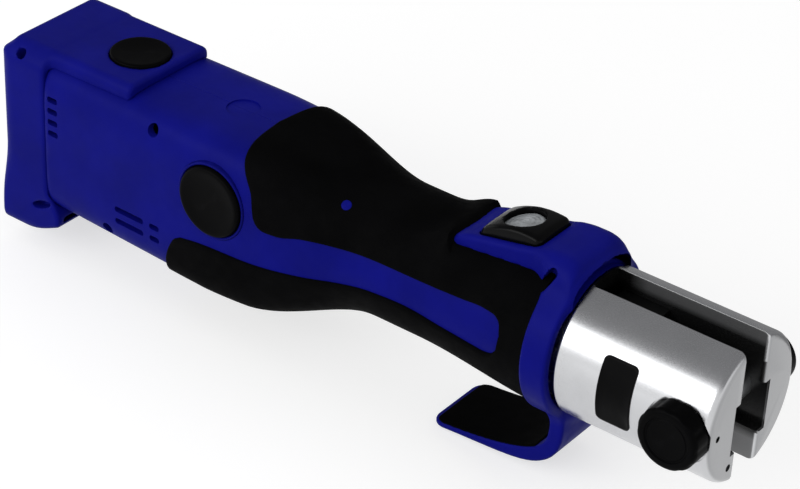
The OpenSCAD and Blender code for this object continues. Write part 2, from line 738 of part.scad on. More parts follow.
module motor_end_cap() color(black) difference() {
    union() {
        along_x(motor_d / 2, motor_x - end_cap_t, end_cap_t);
        along_x(motor_d / 2 - can_t - seat_gap, motor_x - end_cap_t, end_cap_t + can_t);
    }
    along_x(bush_r, motor_x - end_cap_t - over, 3 * end_cap_t);
}

module motor_bushes() color(brass)
    for (x = [motor_x - end_cap_t, motor_x + motor_l - bush_l]) difference() {
        along_x(bush_r, x, bush_l);
        along_x(shaft_r + run_fit, x - over, bush_l + 2 * over);
    }

// Gear train: sun, three planets and a fixed ring
sun_teeth = 12;
planet_teeth = 18;
ring_teeth = sun_teeth + 2 * planet_teeth;
planets = 3;
planet_pin_r = 3;
gear_m = sun_d / sun_teeth;
ring_r = ring_teeth * gear_m / 2;
ring_wall = 3.2;
planet_orbit = (sun_teeth + planet_teeth) * gear_m / 2;
addendum_share = 0.8;
dedendum_share = 1.2;
tooth_half_shares = [0.34, 0.22, 0.09];

// Straight-flanked teeth: half widths at root, pitch and tip as shares of the tooth pitch
module gear_outline(teeth, inside = false) {
    r = teeth * gear_m / 2;
    pitch = 360 / teeth;
    root = r + (inside ? 1 : -1) * dedendum_share * gear_m;
    tip = r + (inside ? -1 : 1) * addendum_share * gear_m;
    s = tooth_half_shares;
    rows = [[root, -s[0]], [r, -s[1]], [tip, -s[2]], [tip, s[2]], [r, s[1]], [root, s[0]]];
    polygon([for (i = [0 : teeth - 1], p = rows)
        p[0] * [cos(pitch * (i + p[1])), sin(pitch * (i + p[1]))]]);
}

// Gear blank along X with its first tooth towards +Z
module gear_x_bar(teeth, x, l) translate([x, 0, 0]) rotate([0, 90, 0]) rotate([0, 0, 180])
    linear_extrude(height = l) gear_outline(teeth);

module rotor() color("#8a4b2a") {
    along_x(rotor_core_r, motor_x + end_cap_t + rotor_end, motor_l - 2 * end_cap_t - rotor_end - bush_l);
    along_x(shaft_r, motor_x - end_cap_t, gear_x - motor_x + end_cap_t);
}

module sun_gear() color(steel) gear_x_bar(sun_teeth, gear_x, gear_l);

plate_ear_h = 18;
module gear_plate() color(steel) difference() {
    ear_y = half_w(motor_x + motor_l) - wall - 2 * seat_gap;
    union() {
        along_x(ring_r + ring_wall, motor_x + motor_l, gear_plate_t);
        block([motor_x + motor_l, -ear_y, -plate_ear_h / 2],
              [motor_x + motor_l + gear_plate_t, ear_y, plate_ear_h / 2]);
    }
    along_x(bush_r, motor_x + motor_l - over, gear_plate_t + 2 * over);
}

ring_x = gear_x - gear_gap;
module ring_gear() color("#7d8087") difference() {
    along_x(ring_r + ring_wall, ring_x, pump_x - ring_x);
    translate([ring_x - over, 0, 0]) rotate([0, 90, 0]) rotate([0, 0, 180])
        linear_extrude(height = pump_x) gear_outline(ring_teeth, true);
}

// Carrier plate with planet pins, bearing journal and eccentric
carrier_t = 4;
carrier_x = gear_x + gear_l + run_gap;
journal_r = 8;
eccentric_r = 6;
eccentric_off = 1.5;
bearing_l = 8;
eccentric_l = 12;
module planet_carrier() color(steel) {
    along_x(planet_orbit + planet_pin_r + gear_m, carrier_x, carrier_t);
    for (i = [0 : planets - 1]) rotate([-360 * i / planets, 0, 0])
        along_x(planet_pin_r, gear_x, carrier_x - gear_x + carrier_t, 0, planet_orbit);
    along_x(journal_r, carrier_x + carrier_t, pump_x + bearing_l - carrier_x - carrier_t);
    along_x(eccentric_r, pump_x + bearing_l, eccentric_l, 0, -eccentric_off);
}

// Planet gear at a turn about the axis, with a gap of its teeth facing the sun
module planet(turn) rotate([-turn, 0, 0]) translate([0, 0, planet_orbit]) difference() {
    rotate([180 / planet_teeth, 0, 0]) gear_x_bar(planet_teeth, gear_x, gear_l);
    along_x(planet_pin_r + run_fit, gear_x - over, gear_l + 2 * over);
}

module planet_gear_1() color("#9a9da3") planet(0);
module planet_gear_2() color("#9a9da3") planet(360 / planets);
module planet_gear_3() color("#9a9da3") planet(720 / planets);

bearing_r = 14;
module carrier_bearing() color(steel) difference() {
    along_x(bearing_r, pump_x, bearing_l);
    along_x(journal_r + run_fit, pump_x - over, bearing_l + 2 * over);
}

// Pump block with its crank chamber, piston bore and relief valve bore
chamber_r = 11;
chamber_l = 24;
piston_r = 4;
piston_x = pump_x + bearing_l + eccentric_l / 2;
valve_r = 3;
valve_tip_y = -sqrt(pow(pump_d / 2, 2) - pow(reset_z, 2));
valve_l = 11;
bolt_edge = 3.3;
bolt_orbit = pump_d / 2 - bolt_edge;
bolt_r = 1.6;
bolt_sunk = 12;
piston_sunk = 1;

module pump_block() color("#6f7379") difference() {
    along_x(pump_d / 2, pump_x, pump_l);
    along_x(bearing_r, pump_x - over, bearing_l + over);
    along_x(chamber_r, pump_x, bearing_l + chamber_l - bearing_l / 2);
    translate([piston_x, 0, -pump_d]) cylinder(h = pump_d, r = piston_r + run_fit);
    along_y(valve_r + run_fit, reset_x, -pump_d, reset_z, pump_d + valve_tip_y + valve_l);
    for (a = [45 : 90 : 315]) rotate([a, 0, 0])
        along_x(bolt_r + screw_fit, pump_x + pump_l - bolt_sunk, bolt_sunk + over, 0, bolt_orbit);
}

module pump_piston() color(steel) translate([piston_x, 0, piston_sunk - pump_d / 2])
    cylinder(h = pump_d / 2 - piston_sunk - eccentric_r - eccentric_off - run_gap, r = piston_r);

module relief_valve() color(brass)
    along_y(valve_r, reset_x, valve_tip_y, reset_z, valve_l);

reservoir_lag = 7;
reservoir_clear = 3.7;
reservoir_x = pump_x + reservoir_lag;
reservoir_l = 32;
reservoir_w = 38;
reservoir_h = motor_end_bottom - wall - pump_d / 2 - run_gap - reservoir_clear;
reservoir_r = 3;
module oil_reservoir() color("#5a5348")
    slab_x(reservoir_x, reservoir_l, -reservoir_w / 2, reservoir_w / 2,
           -pump_d / 2 - run_gap - reservoir_h, -pump_d / 2 - run_gap, reservoir_r);

// Pressure cylinder: rear flange, barrel and swivel journal
ring_wire_r = 1.2;
ring_setback = 9;
swivel_ring_x = journal_end - ring_setback;
cylinder_floor = 7;

module pressure_cylinder() color("#8d9096") difference() {
    turned([[cylinder_x, 0], [cylinder_x, pump_d / 2], [cylinder_x + flange_t, pump_d / 2],
            [cylinder_x + flange_t, cylinder_d / 2], [journal_x, cylinder_d / 2],
            [journal_x, swivel_r], [journal_end, swivel_r], [journal_end, 0]]);
    along_x(cylinder_bore / 2, cylinder_x + cylinder_floor, journal_end);
    ring_groove(ring_wire_r);
    for (a = [45 : 90 : 315]) rotate([a, 0, 0])
        along_x(bolt_r + screw_fit, cylinder_x - over, flange_t + 2 * over, 0, bolt_orbit);
}

// Round groove shared by the swivel's journal and the fork's bore
module ring_groove(r) translate([swivel_ring_x, 0, 0]) rotate([0, 90, 0])
    rotate_extrude() translate([swivel_r, 0]) circle(r, $fn = 24);

module swivel_ring() color(steel) ring_groove(ring_wire_r - run_fit);

bolt_head_r = 2.6;
module cylinder_bolts() color(steel) for (a = [45 : 90 : 315]) rotate([a, 0, 0]) {
    along_x(bolt_r, cylinder_x - bolt_sunk + over, bolt_sunk - over + flange_t, 0, bolt_orbit);
    along_x(bolt_head_r, cylinder_x + flange_t, bolt_r * 2, 0, bolt_orbit);
}

// Bulkhead that carries the cylinder in the shells, notched over the trigger
bulkhead_setback = 10;
bulkhead_x = journal_x - bulkhead_setback;
bulkhead_t = 5;
module front_bulkhead() color(black) difference() {
    along_x(half_w(bulkhead_x) - wall - seat_gap * 2, bulkhead_x, bulkhead_t);
    along_x(cylinder_d / 2 + screw_fit / 2, bulkhead_x - over, bulkhead_t + 2 * over);
    block([bulkhead_x - over, -trigger_w / 2 - trigger_gap, -nose_d],
          [bulkhead_x + bulkhead_t + over, trigger_w / 2 + trigger_gap, 0]);
}

gland_l = 10;
module rod_gland() color(brass) difference() {
    along_x(cylinder_bore / 2, journal_end - gland_l, gland_l);
    along_x(rod_d / 2 + run_fit, journal_end - gland_l - over, gland_l + 2 * over);
}

// Ram: piston and rod in one bar, with a seal ring and a roller carriage
piston_gap = 1;
ram_x = cylinder_x + cylinder_floor + piston_gap;
piston_l = 14;
seal_w = 3;
seal_t = 2;
carriage_l = 23;
carriage_h = 46;
roller_w = 10;
roller_pin_r = 3.5;
roller_part = 0.5;
roller_z = roller_d / 2 + roller_part;
seal_x = ram_x + (piston_l - seal_w) / 2;

module ram() color(steel) difference() {
    union() {
        along_x(cylinder_bore / 2 - run_fit, ram_x, piston_l);
        along_x(rod_d / 2, ram_x + piston_l, carriage_x - ram_x - piston_l);
    }
    difference() {
        along_x(cylinder_bore, seal_x, seal_w);
        along_x(cylinder_bore / 2 - seal_t, ram_x, piston_l);
    }
}

module piston_seal() color(black) difference() {
    along_x(cylinder_bore / 2 - run_fit, seal_x + seat_gap / 2, seal_w - seat_gap);
    along_x(cylinder_bore / 2 - seal_t, ram_x, piston_l);
}

return_wire_r = 1.1;
return_turns = 12;
module return_spring() color(steel) {
    from = ram_x + piston_l + seat_gap;
    to = journal_end - gland_l - seat_gap;
    translate([from, 0, 0]) rotate([0, 90, 0])
        coil((rod_d + spring_room) / 2, return_wire_r, to - from, return_turns);
}

module roller_carriage() color("#85888e") difference() {
    pocket_w = roller_w + 2 * run_gap;
    side_plate([[carriage_x, -carriage_h / 2], [carriage_x + carriage_l, -carriage_h / 2],
                [carriage_x + carriage_l, carriage_h / 2], [carriage_x, carriage_h / 2]],
               slot_w - 2 * run_gap);
    for (s = [-1, 1]) {
        along_y(roller_d / 2 + run_gap, roller_x, -pocket_w / 2, s * roller_z, pocket_w);
        block([roller_x, -pocket_w / 2, s * roller_z - roller_d / 2 - run_gap],
              [roller_x + carriage_l, pocket_w / 2, s * roller_z + roller_d / 2 + run_gap]);
        along_y(roller_pin_r, roller_x, -slot_w, s * roller_z, slot_w * 2);
    }
}

module roller_pins() color(steel) for (s = [-1, 1])
    along_y(roller_pin_r, roller_x, -slot_w / 2 + run_gap, s * roller_z, slot_w - 2 * run_gap);

module roller(s) difference() {
    along_y(roller_d / 2, roller_x, -roller_w / 2, s * roller_z, roller_w);
    along_y(roller_pin_r + run_fit, roller_x, -roller_w, s * roller_z, roller_w * 2);
}
module upper_roller() color("#a5a8ae") roller(1);
module lower_roller() color("#a5a8ae") roller(-1);

// Fork: shank over the swivel journal, web and two lugs
fork_edge = 1.5;
spot_depth = 2.5;
spot_y = fork_d / 2 - spot_depth;
keeper_r = 13;
lug_step_w = 3;
lug_step_h = 12;
tip_hole_r = 1.6;
tip_hole_y = 23;
tip_hole_l = 8;

module fork() color(steel) difference() {
    turned([[shank_x, 0], [shank_x, shank_r], [fork_x, shank_r], [fork_x, fork_d / 2 - fork_edge],
            [fork_x + fork_edge, fork_d / 2], [tool_l - fork_edge, fork_d / 2],
            [tool_l, fork_d / 2 - fork_edge], [tool_l, 0]]);
    along_x(swivel_r + run_fit, shank_x - over, web_x - shank_x + over);
    along_x(rod_d / 2 + run_gap / 2, shank_x, slot_x - shank_x + over);
    ring_groove(ring_wire_r);
    block([slot_x, -slot_w / 2, -fork_d], [tool_l + over, slot_w / 2, fork_d]);
    block([pin_x, slot_w / 2 - over, -lug_step_h / 2],
          [tool_l + over, slot_w / 2 + lug_step_w, lug_step_h / 2]);
    along_y(pin_d / 2 + run_fit, pin_x, -fork_d, 0, 2 * fork_d);
    along_y(knob_d / 2 + run_gap * 2, pin_x, -fork_d, 0, fork_d - spot_y);
    along_y(keeper_r + seat_gap, pin_x, spot_y, 0, fork_d);
    along_x(tip_hole_r, tool_l - tip_hole_l, tip_hole_l + over, -tip_hole_y, 0);
}

// Curved plate on the fork's near side
label_lag = 22;
label_x = fork_x + label_lag;
label_l = 16.5;
label_low = -12;
label_h = 31;
label_t = 0.7;
module fork_label() color(black) intersection() {
    difference() {
        along_x(fork_d / 2 + label_t + seat_gap / 3, label_x, label_l);
        along_x(fork_d / 2 + seat_gap / 3, label_x - over, label_l + 2 * over);
    }
    block([label_x, -fork_d, label_low], [label_x + label_l, 0, label_low + label_h]);
}

keeper_t = 9.5;
keeper_floor = 5;
knob_t = 10.5;
knob_edge = 2;
keeper_end = spot_y + keeper_t;
pin_tip = keeper_end - keeper_floor;
knob_end = spot_y + knob_t;
module pin_keeper() color(black) difference() {
    along_y(keeper_r, pin_x, spot_y, 0, keeper_end - spot_y);
    along_y(pin_d / 2 + run_fit, pin_x, 0, 0, pin_tip + run_gap);
}

module jaw_pin() color(steel) along_y(pin_d / 2, pin_x, -spot_y - seat_gap, 0, spot_y + seat_gap + pin_tip);

module pin_knob() color(black)
    translate([pin_x, 0, 0]) rotate([90, 0, 0]) rotate_extrude() polygon([
        [0, spot_y + seat_gap], [knob_d / 2, spot_y + seat_gap], [knob_d / 2, knob_end - knob_edge],
        [knob_d / 2 - knob_edge, knob_end], [0, knob_end]]);

// Trigger: rocker with its pivot at the front
trigger_shares = [[0.10, 0.10], [0.06, 0.62], [-0.36, 1], [-0.86, 0.74], [-1, 0.20], [-1, 0],
                  [-0.30, 0], [-0.12, -0.17], [0.10, -0.17]];
module trigger() color(black) difference() {
    side_plate([for (s = trigger_shares) [trigger_pivot_x + s[0] * trigger_reach,
                                          trigger_pivot_z - s[1] * trigger_depth]], trigger_w);
    along_y(trigger_pin_r + run_fit, trigger_pivot_x, -trigger_w, trigger_pivot_z, 2 * trigger_w);
}

module trigger_pin() color(steel)
    along_y(trigger_pin_r, trigger_pivot_x, -trigger_pin_l / 2, trigger_pivot_z, trigger_pin_l);

trigger_spring_lag = 4;
trigger_wire_r = 0.35;
trigger_coil_r = 2.2;
trigger_turns = 4;
module trigger_spring() color(steel)
    translate([trigger_rear_x + trigger_spring_lag, 0, trigger_pivot_z + seat_gap])
        coil(trigger_coil_r, trigger_wire_r, trigger_room - 2 * seat_gap, trigger_turns);

switch_lag = 8;
switch_x = trigger_rear_x + switch_lag;
switch_l = 12;
switch_w = 7;
switch_h = 4.6;
plunger_r = 1;
plunger_l = 0.7;
module start_switch() color(black) {
    block([switch_x, -switch_w / 2, -cylinder_d / 2 - run_gap - switch_h],
          [switch_x + switch_l, switch_w / 2, -cylinder_d / 2 - run_gap]);
    translate([switch_x + switch_l / 2, 0, -cylinder_d / 2 - run_gap - switch_h - plunger_l])
        cylinder(h = plunger_l + over, r = plunger_r);
}

// Reset button in its cup
reset_cup_t = 1.4;
reset_cup_r = reset_d / 2 + run_gap + reset_cup_t;
reset_cup_proud = 0.6;
reset_cup_depth = 6;
reset_cup_y = reset_face + reset_cup_proud;
reset_floor_y = reset_face - reset_cup_depth;
reset_floor_t = 2;
stem_slim = 0.5;
reset_stem_r = valve_r - stem_slim;
reset_proud = 2.5;
reset_cap_t = 3;
reset_edge = 1.2;
reset_top_y = reset_face + reset_proud;
reset_cap_y = reset_top_y - reset_cap_t;
reset_stem_y = -valve_tip_y + reset_travel + run_gap;

module reset_cup() color("#1a1c60") difference() {
    along_y(reset_cup_r, reset_x, -reset_cup_y, reset_z, reset_cup_y - reset_floor_y);
    along_y(reset_d / 2 + run_gap, reset_x, -reset_cup_y - over, reset_z,
            reset_cup_y - reset_floor_y - reset_floor_t + over);
    along_y(reset_stem_r + screw_fit, reset_x, -reset_cup_y, reset_z, reset_cup_y);
}

module reset_button() color(black) translate([reset_x, 0, reset_z]) rotate([90, 0, 0])
    rotate_extrude() polygon([
        [0, reset_stem_y], [reset_stem_r, reset_stem_y], [reset_stem_r, reset_cap_y],
        [reset_d / 2, reset_cap_y], [reset_d / 2, reset_top_y - reset_edge],
        [reset_d / 2 - reset_edge, reset_top_y], [0, reset_top_y]]);

reset_wire_r = 0.5;
reset_coil_r = 7;
reset_turns = 2;
module reset_spring() color(steel) {
    from = reset_floor_y + reset_floor_t + seat_gap;
    translate([reset_x, -from, reset_z]) rotate([90, 0, 0])
        coil(reset_coil_r, reset_wire_r, reset_cap_y - from - seat_gap, reset_turns);
}

// Battery release: guide cup, button, spring and latch bar
release_proud = 1.5;
release_cap_t = 4;
release_skirt_t = 2;
release_skirt_l = 4;
release_edge = 1;
release_stem_r = 3.5;
release_top_z = saddle_top + release_proud;
release_cap_z = release_top_z - release_cap_t;
latch_x = 1.5;
latch_tooth_l = 4;
latch_tooth_h = 8;

module release_guide() color(black) translate([release_x, 0, 0]) difference() {
    translate([0, 0, guide_floor_z])
        cylinder(h = saddle_top - 2 * release_rim - guide_floor_z - seat_gap, r = guide_r);
    translate([0, 0, guide_floor_z + guide_floor_t]) cylinder(h = saddle_top, r = release_d / 2 + run_gap);
    translate([0, 0, guide_floor_z - over]) cylinder(h = saddle_top, r = release_stem_r + screw_fit);
}

module release_button() color(black) translate([release_x, 0, 0]) rotate_extrude() polygon([
    [0, latch_z + latch_t], [release_stem_r, latch_z + latch_t], [release_stem_r, release_cap_z],
    [release_d / 2 - release_skirt_t, release_cap_z],
    [release_d / 2 - release_skirt_t, release_cap_z - release_skirt_l],
    [release_d / 2, release_cap_z - release_skirt_l], [release_d / 2, release_top_z - release_edge],
    [release_d / 2 - release_edge, release_top_z], [0, release_top_z]]);

release_wire_r = 0.5;
release_coil_r = 6;
release_turns = 4;
module release_spring() color(steel) {
    from = guide_floor_z + guide_floor_t + seat_gap;
    translate([release_x, 0, from])
        coil(release_coil_r, release_wire_r, release_cap_z - from - seat_gap, release_turns);
}

module battery_latch() color(steel) {
    block([latch_x, -latch_w / 2, latch_z], [release_x + release_stem_r, latch_w / 2, latch_z + latch_t]);
    block([latch_x, -latch_w / 2, latch_z], [latch_x + latch_tooth_l, latch_w / 2, latch_z + latch_tooth_h]);
}

// Control board under the motor, with its capacitor and heat sink
control_setback = 17;
control_drop = 5;
control_x = shoe_t + control_setback;
control_w = 46;
control_short = 2;
control_z = -motor_d / 2 - control_drop;
control_end = motor_x + motor_l - control_short;
cap_r = (tail_bottom - wall + control_z - board_t) / 2 - run_gap;
cap_l = 18;
cap_setback = 5;
sink_l = 24;
sink_w = 30;
module control_board() color(board_green) {
    block([control_x, -control_w / 2, control_z - board_t], [control_end, control_w / 2, control_z]);
    along_x(cap_r, control_x + cap_setback, cap_l, 0, control_z - board_t - cap_r + seat_gap);
    block([control_end - sink_l, -sink_w / 2, control_z],
          [control_end, sink_w / 2, control_z + control_drop - run_gap]);
}

battery_shoe();
battery_terminals();
shoe_screws();
right_shell();
left_shell();
upper_grip();
lower_grip();
shell_screws();
nose_collar();
guard_liner();
window_bezel();
window_lens();
light_board();
control_board();
motor_can();
motor_magnets();
motor_end_cap();
motor_bushes();
rotor();
sun_gear();
gear_plate();
ring_gear();
planet_carrier();
planet_gear_1();
planet_gear_2();
planet_gear_3();
carrier_bearing();
pump_block();
pump_piston();
oil_reservoir();
relief_valve();
pressure_cylinder();
cylinder_bolts();
front_bulkhead();
rod_gland();
swivel_ring();
ram();
piston_seal();
return_spring();
roller_carriage();
roller_pins();
upper_roller();
lower_roller();
fork();
fork_label();
pin_keeper();
jaw_pin();
pin_knob();
trigger();
trigger_pin();
trigger_spring();
start_switch();
reset_cup();
reset_button();
reset_spring();
release_guide();
release_button();
release_spring();
battery_latch();
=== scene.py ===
"""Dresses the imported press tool: moulded housing, soft grips, nose, steel fork and controls."""
import math

import bmesh
import bpy
import numpy as np
from mathutils import Matrix, Vector


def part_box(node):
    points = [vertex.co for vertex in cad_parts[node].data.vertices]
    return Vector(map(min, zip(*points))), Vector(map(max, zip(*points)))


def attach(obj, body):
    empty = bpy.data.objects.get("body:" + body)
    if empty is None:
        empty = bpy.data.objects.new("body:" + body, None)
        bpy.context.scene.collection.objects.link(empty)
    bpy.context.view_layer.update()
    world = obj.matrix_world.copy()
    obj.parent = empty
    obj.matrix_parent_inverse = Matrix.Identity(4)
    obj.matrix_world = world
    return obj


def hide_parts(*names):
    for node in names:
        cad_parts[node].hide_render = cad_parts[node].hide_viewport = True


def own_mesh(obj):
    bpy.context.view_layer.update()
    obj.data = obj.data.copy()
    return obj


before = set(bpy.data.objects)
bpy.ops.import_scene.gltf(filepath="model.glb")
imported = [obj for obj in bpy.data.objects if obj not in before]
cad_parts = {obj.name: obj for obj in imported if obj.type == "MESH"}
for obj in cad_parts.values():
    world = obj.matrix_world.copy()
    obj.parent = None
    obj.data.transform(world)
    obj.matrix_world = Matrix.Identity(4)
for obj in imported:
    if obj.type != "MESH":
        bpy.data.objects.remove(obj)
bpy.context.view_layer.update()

bl_info = {
    "name": "Press Tool Dressing",
    "version": (1, 0, 0),
    "blender": (4, 5, 0),
    "location": "View3D > Sidebar > Press Tool",
    "description": "Builds the visible pieces and finishes of an in-line press tool",
    "category": "Add Mesh",
}

MM = 0.001


def length(name, description, default):
    """Length property in metres, from millimetres."""
    return bpy.props.FloatProperty(name=name, description=description, default=default * MM,
                                   unit="LENGTH", min=0.0, precision=4)


def colour(name, description, default):
    """Linear colour property."""
    return bpy.props.FloatVectorProperty(name=name, description=description, default=default,
                                         subtype="COLOR", size=3, min=0.0, max=1.0)


class PressToolSizes(bpy.types.PropertyGroup):
    shoe_depth: length("Shoe depth", "Thickness of the battery shoe", 31)
    shoe_width: length("Shoe width", "Width of the battery shoe", 66)
    shoe_corner: length("Shoe corner", "Corner radius of the battery shoe", 8)
    shoe_edge: length("Shoe edge", "Rounding of the shoe's edges", 2.2)
    wall: length("Wall", "Wall of the housing", 3)
    part_line: length("Parting line", "Depth of the groove between the housing halves", 0.35)
    grip_depth: length("Grip depth", "Thickness of the soft grip covers", 1.5)
    grip_roll: length("Grip edge", "Rounding of the grip covers' edges", 1.6)
    collar_edge: length("Collar edge", "Rounding of the collar's rims", 1.3)
    guard_depth: length("Guard depth", "Thickness of the finger guard", 7.2)
    guard_width: length("Guard width", "Width of the finger guard", 38.4)
    fork_radius: length("Fork radius", "Outside radius of the fork", 34)
    slot_width: length("Slot width", "Width of the jaw slot", 18)
    fork_edge: length("Fork edge", "Rounding of the fork's edges", 1.3)
    knob_radius: length("Knob radius", "Radius of the jaw pin's knob", 14.5)
    net_step: length("Net step", "Grid step of the moulded pieces", 0.85)


class PressToolColours(bpy.types.PropertyGroup):
    housing: colour("Housing", "Blue of the moulded housing", (0.0032, 0.0044, 0.178))
    housing_rub: colour("Housing rub", "Blue of rubbed edges", (0.008, 0.011, 0.24))
    grip: colour("Grip", "Soft grip covers", (0.0017, 0.0017, 0.0019))
    plastic: colour("Black plastic", "Buttons, knob and window frame", (0.0017, 0.0017, 0.0019))
    steel: colour("Fork steel", "Satin plated steel", (0.58, 0.585, 0.60))
    inner_steel: colour("Inner steel", "Machined inner parts", (0.42, 0.43, 0.44))
    glass: colour("Window", "Frosted light window", (0.36, 0.38, 0.40))
    floor: colour("Floor", "Studio floor", (0.55, 0.55, 0.55))


def sizes():
    """Sizes in millimetres."""
    group = bpy.context.scene.press_tool_sizes
    return {key: getattr(group, key) / MM for key in PressToolSizes.__annotations__}


def colours():
    return bpy.context.scene.press_tool_colours


# Stations of the housing along the tool's axis, in millimetres
SHOE_FACE = 23.0
MOTOR_END = 130.0
SOFTEN = 125.0
SOFTEN_END = 216.0
TAPER = 152.0
TAPER_END = 222.0
FLARE = 245.0
BODY_END = 316.0
COLLAR = 309.0
COLLAR_END = 322.0
PIN = 385.0
RELEASE = 63.0
TIP = 400.0
LENS = 282.6

# Centre of the reset button, and the room for the trigger
RESET = (137, 0, 8)
TRIGGER_GAP = ((263, -9, -60), (304, 9, -20))

# Half width, top and bottom of the housing at the shoe, the motor's end, the grip and the nose
HALF_WIDTH = (32.5, 35.0, 30.0, 34.5)
TOP = (36.5, 37.0, 30.0, 34.5)
BOTTOM = (42.0, 46.5, 30.0, 34.5)

# Power of the section's outline: squarest at the shoe and round in the grip
SQUARE_SHOE, SQUARE_MOTOR, SQUARE_GRIP = 6.4, 5.5, 2.0

# Angles in degrees above which edges are shaded sharp
SHARP, NET_SHARP, COVER_SHARP, COIL_SHARP = 32.0, 40.0, 45.0, 70.0


def ramp(x, a, b):
    """Smooth step from 0 at a to 1 at b."""
    t = np.clip((np.asarray(x, float) - a) / (b - a), 0, 1)
    return t * t * (3 - 2 * t)


def rear_share(x):
    """Share of the way from the shoe to the motor's end."""
    return np.clip((np.asarray(x, float) - SHOE_FACE) / (MOTOR_END - SHOE_FACE), 0, 1)


def station_blend(x, tail, motor, grip, nose):
    value = tail + (motor - tail) * rear_share(x)
    value = value + (grip - value) * ramp(x, TAPER, TAPER_END)
    return value + (nose - value) * ramp(x, FLARE, BODY_END)


def section(x):
    """Half width, top, bottom and squareness of the housing at a station."""
    square = SQUARE_SHOE + (SQUARE_MOTOR - SQUARE_SHOE) * rear_share(x)
    square = square + (SQUARE_GRIP - square) * ramp(x, SOFTEN, SOFTEN_END)
    return (*(station_blend(x, *line) for line in (HALF_WIDTH, TOP, BOTTOM)), square)


def skin_field(x, y, z, out=0.0):
    """Rough signed distance to the housing's skin."""
    w, top, low, square = section(x)
    half = (top + low) / 2 + out
    w = w + out
    value = (np.abs(y) / w) ** square + (np.abs(z - (top - low) / 2) / half) ** square
    return (value ** (1 / square) - 1) * np.minimum(w, half)


def skin_curve(x, out, start, end, along, fine=700):
    """Points of the skin's section at x between two angles, at distances or shares along it."""
    w, top, low, square = section(x)
    t = np.radians(np.linspace(start, end, fine))
    power = 2 / square
    y = (w + out) * np.sign(np.sin(t)) * np.abs(np.sin(t)) ** power
    z = (top - low) / 2 + ((top + low) / 2 + out) * np.sign(np.cos(t)) * np.abs(np.cos(t)) ** power
    run = np.concatenate([[0], np.cumsum(np.hypot(np.diff(y), np.diff(z)))])
    at = along(run[-1]) if callable(along) else np.asarray(along) * run[-1]
    return np.interp(at, run, y), np.interp(at, run, z), run[-1]


def skin_angle(x, z):
    """Angle from the top at which the skin passes a height."""
    _, top, low, square = section(x)
    u = np.clip((z - (top - low) / 2) / ((top + low) / 2), -1, 1)
    return math.degrees(math.acos(np.sign(u) * abs(u) ** (square / 2)))


def smooth_curve(points, x):
    """Monotone cubic through points."""
    xs, ys = np.array(points, float).T
    h = np.diff(xs)
    d = np.diff(ys) / h
    m = np.concatenate([[d[0]], np.where(d[:-1] * d[1:] > 0, 2 * d[:-1] * d[1:]
                                         / np.where(d[:-1] + d[1:] == 0, 1, d[:-1] + d[1:]), 0), [d[-1]]])
    x = np.clip(np.asarray(x, float), xs[0], xs[-1])
    i = np.clip(np.searchsorted(xs, x, side="right") - 1, 0, len(h) - 1)
    t = (x - xs[i]) / h[i]
    return (ys[i] * (1 + 2 * t) * (1 - t) ** 2 + h[i] * m[i] * t * (1 - t) ** 2
            + ys[i + 1] * t * t * (3 - 2 * t) + h[i] * m[i + 1] * t * t * (t - 1))


# Meshes

def make_piece(name, verts, faces, sharp=SHARP):
    """Object from millimetre points, with outward normals and smooth shading up to an angle."""
    mesh = bpy.data.meshes.new(name)
    mesh.from_pydata([tuple(v) for v in np.asarray(verts, float) * MM], [], [tuple(f) for f in faces])
    work = bmesh.new()
    work.from_mesh(mesh)
    bmesh.ops.remove_doubles(work, verts=work.verts, dist=1e-6)
    bmesh.ops.recalc_face_normals(work, faces=work.faces)
    work.to_mesh(mesh)
    work.free()
    piece = bpy.data.objects.new(name, mesh)
    bpy.context.scene.collection.objects.link(piece)
    shade(piece, sharp)
    return piece


def shade(piece, sharp):
    piece.data.shade_smooth()
    piece.data.set_sharp_from_angle(angle=math.radians(sharp))


def loft(name, rings, closed=False, sharp=SHARP):
    """Skin over rings of equal count, with capped ends or closed from the last ring to the first."""
    rows, n = len(rings), len(rings[0])
    faces = []
    for i in range(rows if closed else rows - 1):
        a, b = i * n, (i + 1) % rows * n
        for j in range(n):
            k = (j + 1) % n
            faces.append((a + j, a + k, b + k, b + j))
    if not closed:
        faces += [tuple(range(n)), tuple(range((rows - 1) * n, rows * n))]
    return make_piece(name, np.concatenate([np.asarray(r, float) for r in rings]), faces, sharp)


def lathe(name, profile, centre, axis, count=96, closed=False):
    """Turned piece from (radius, distance along axis) points; closed profiles make rings."""
    axis = Vector(axis).normalized()
    across = axis.orthogonal().normalized()
    other = axis.cross(across)
    turns = [2 * math.pi * j / count for j in range(count)]
    spokes = [across * math.cos(a) + other * math.sin(a) for a in turns]
    rings = [[tuple(Vector(centre) + axis * d + spoke * r) for spoke in spokes] for r, d in profile]
    return loft(name, rings, closed)


def arc(centre, radius, start, end, count):
    """Points of an arc in a profile, in degrees."""
    return [(centre[0] + radius * math.cos(a), centre[1] + radius * math.sin(a))
            for a in np.radians(np.linspace(start, end, count))]


def rounded_rect(half_u, half_v, radius, per_corner):
    points = []
    for su, sv, start in ((1, 1, 0), (-1, 1, 90), (-1, -1, 180), (1, -1, 270)):
        centre = (su * (half_u - radius), sv * (half_v - radius))
        points += arc(centre, radius, start, start + 90, per_corner)
    return np.array(points)


def refined(outline):
    """Rounded rectangle with its four straight edges divided."""
    points = []
    for i in range(len(outline)):
        a, b = outline[i], outline[(i + 1) % len(outline)]
        long_edge = i % (len(outline) // 4) == len(outline) // 4 - 1
        for t in np.arange(24) / 24 if long_edge else [0.0]:
            points.append(a + (b - a) * t)
    return np.array(points)


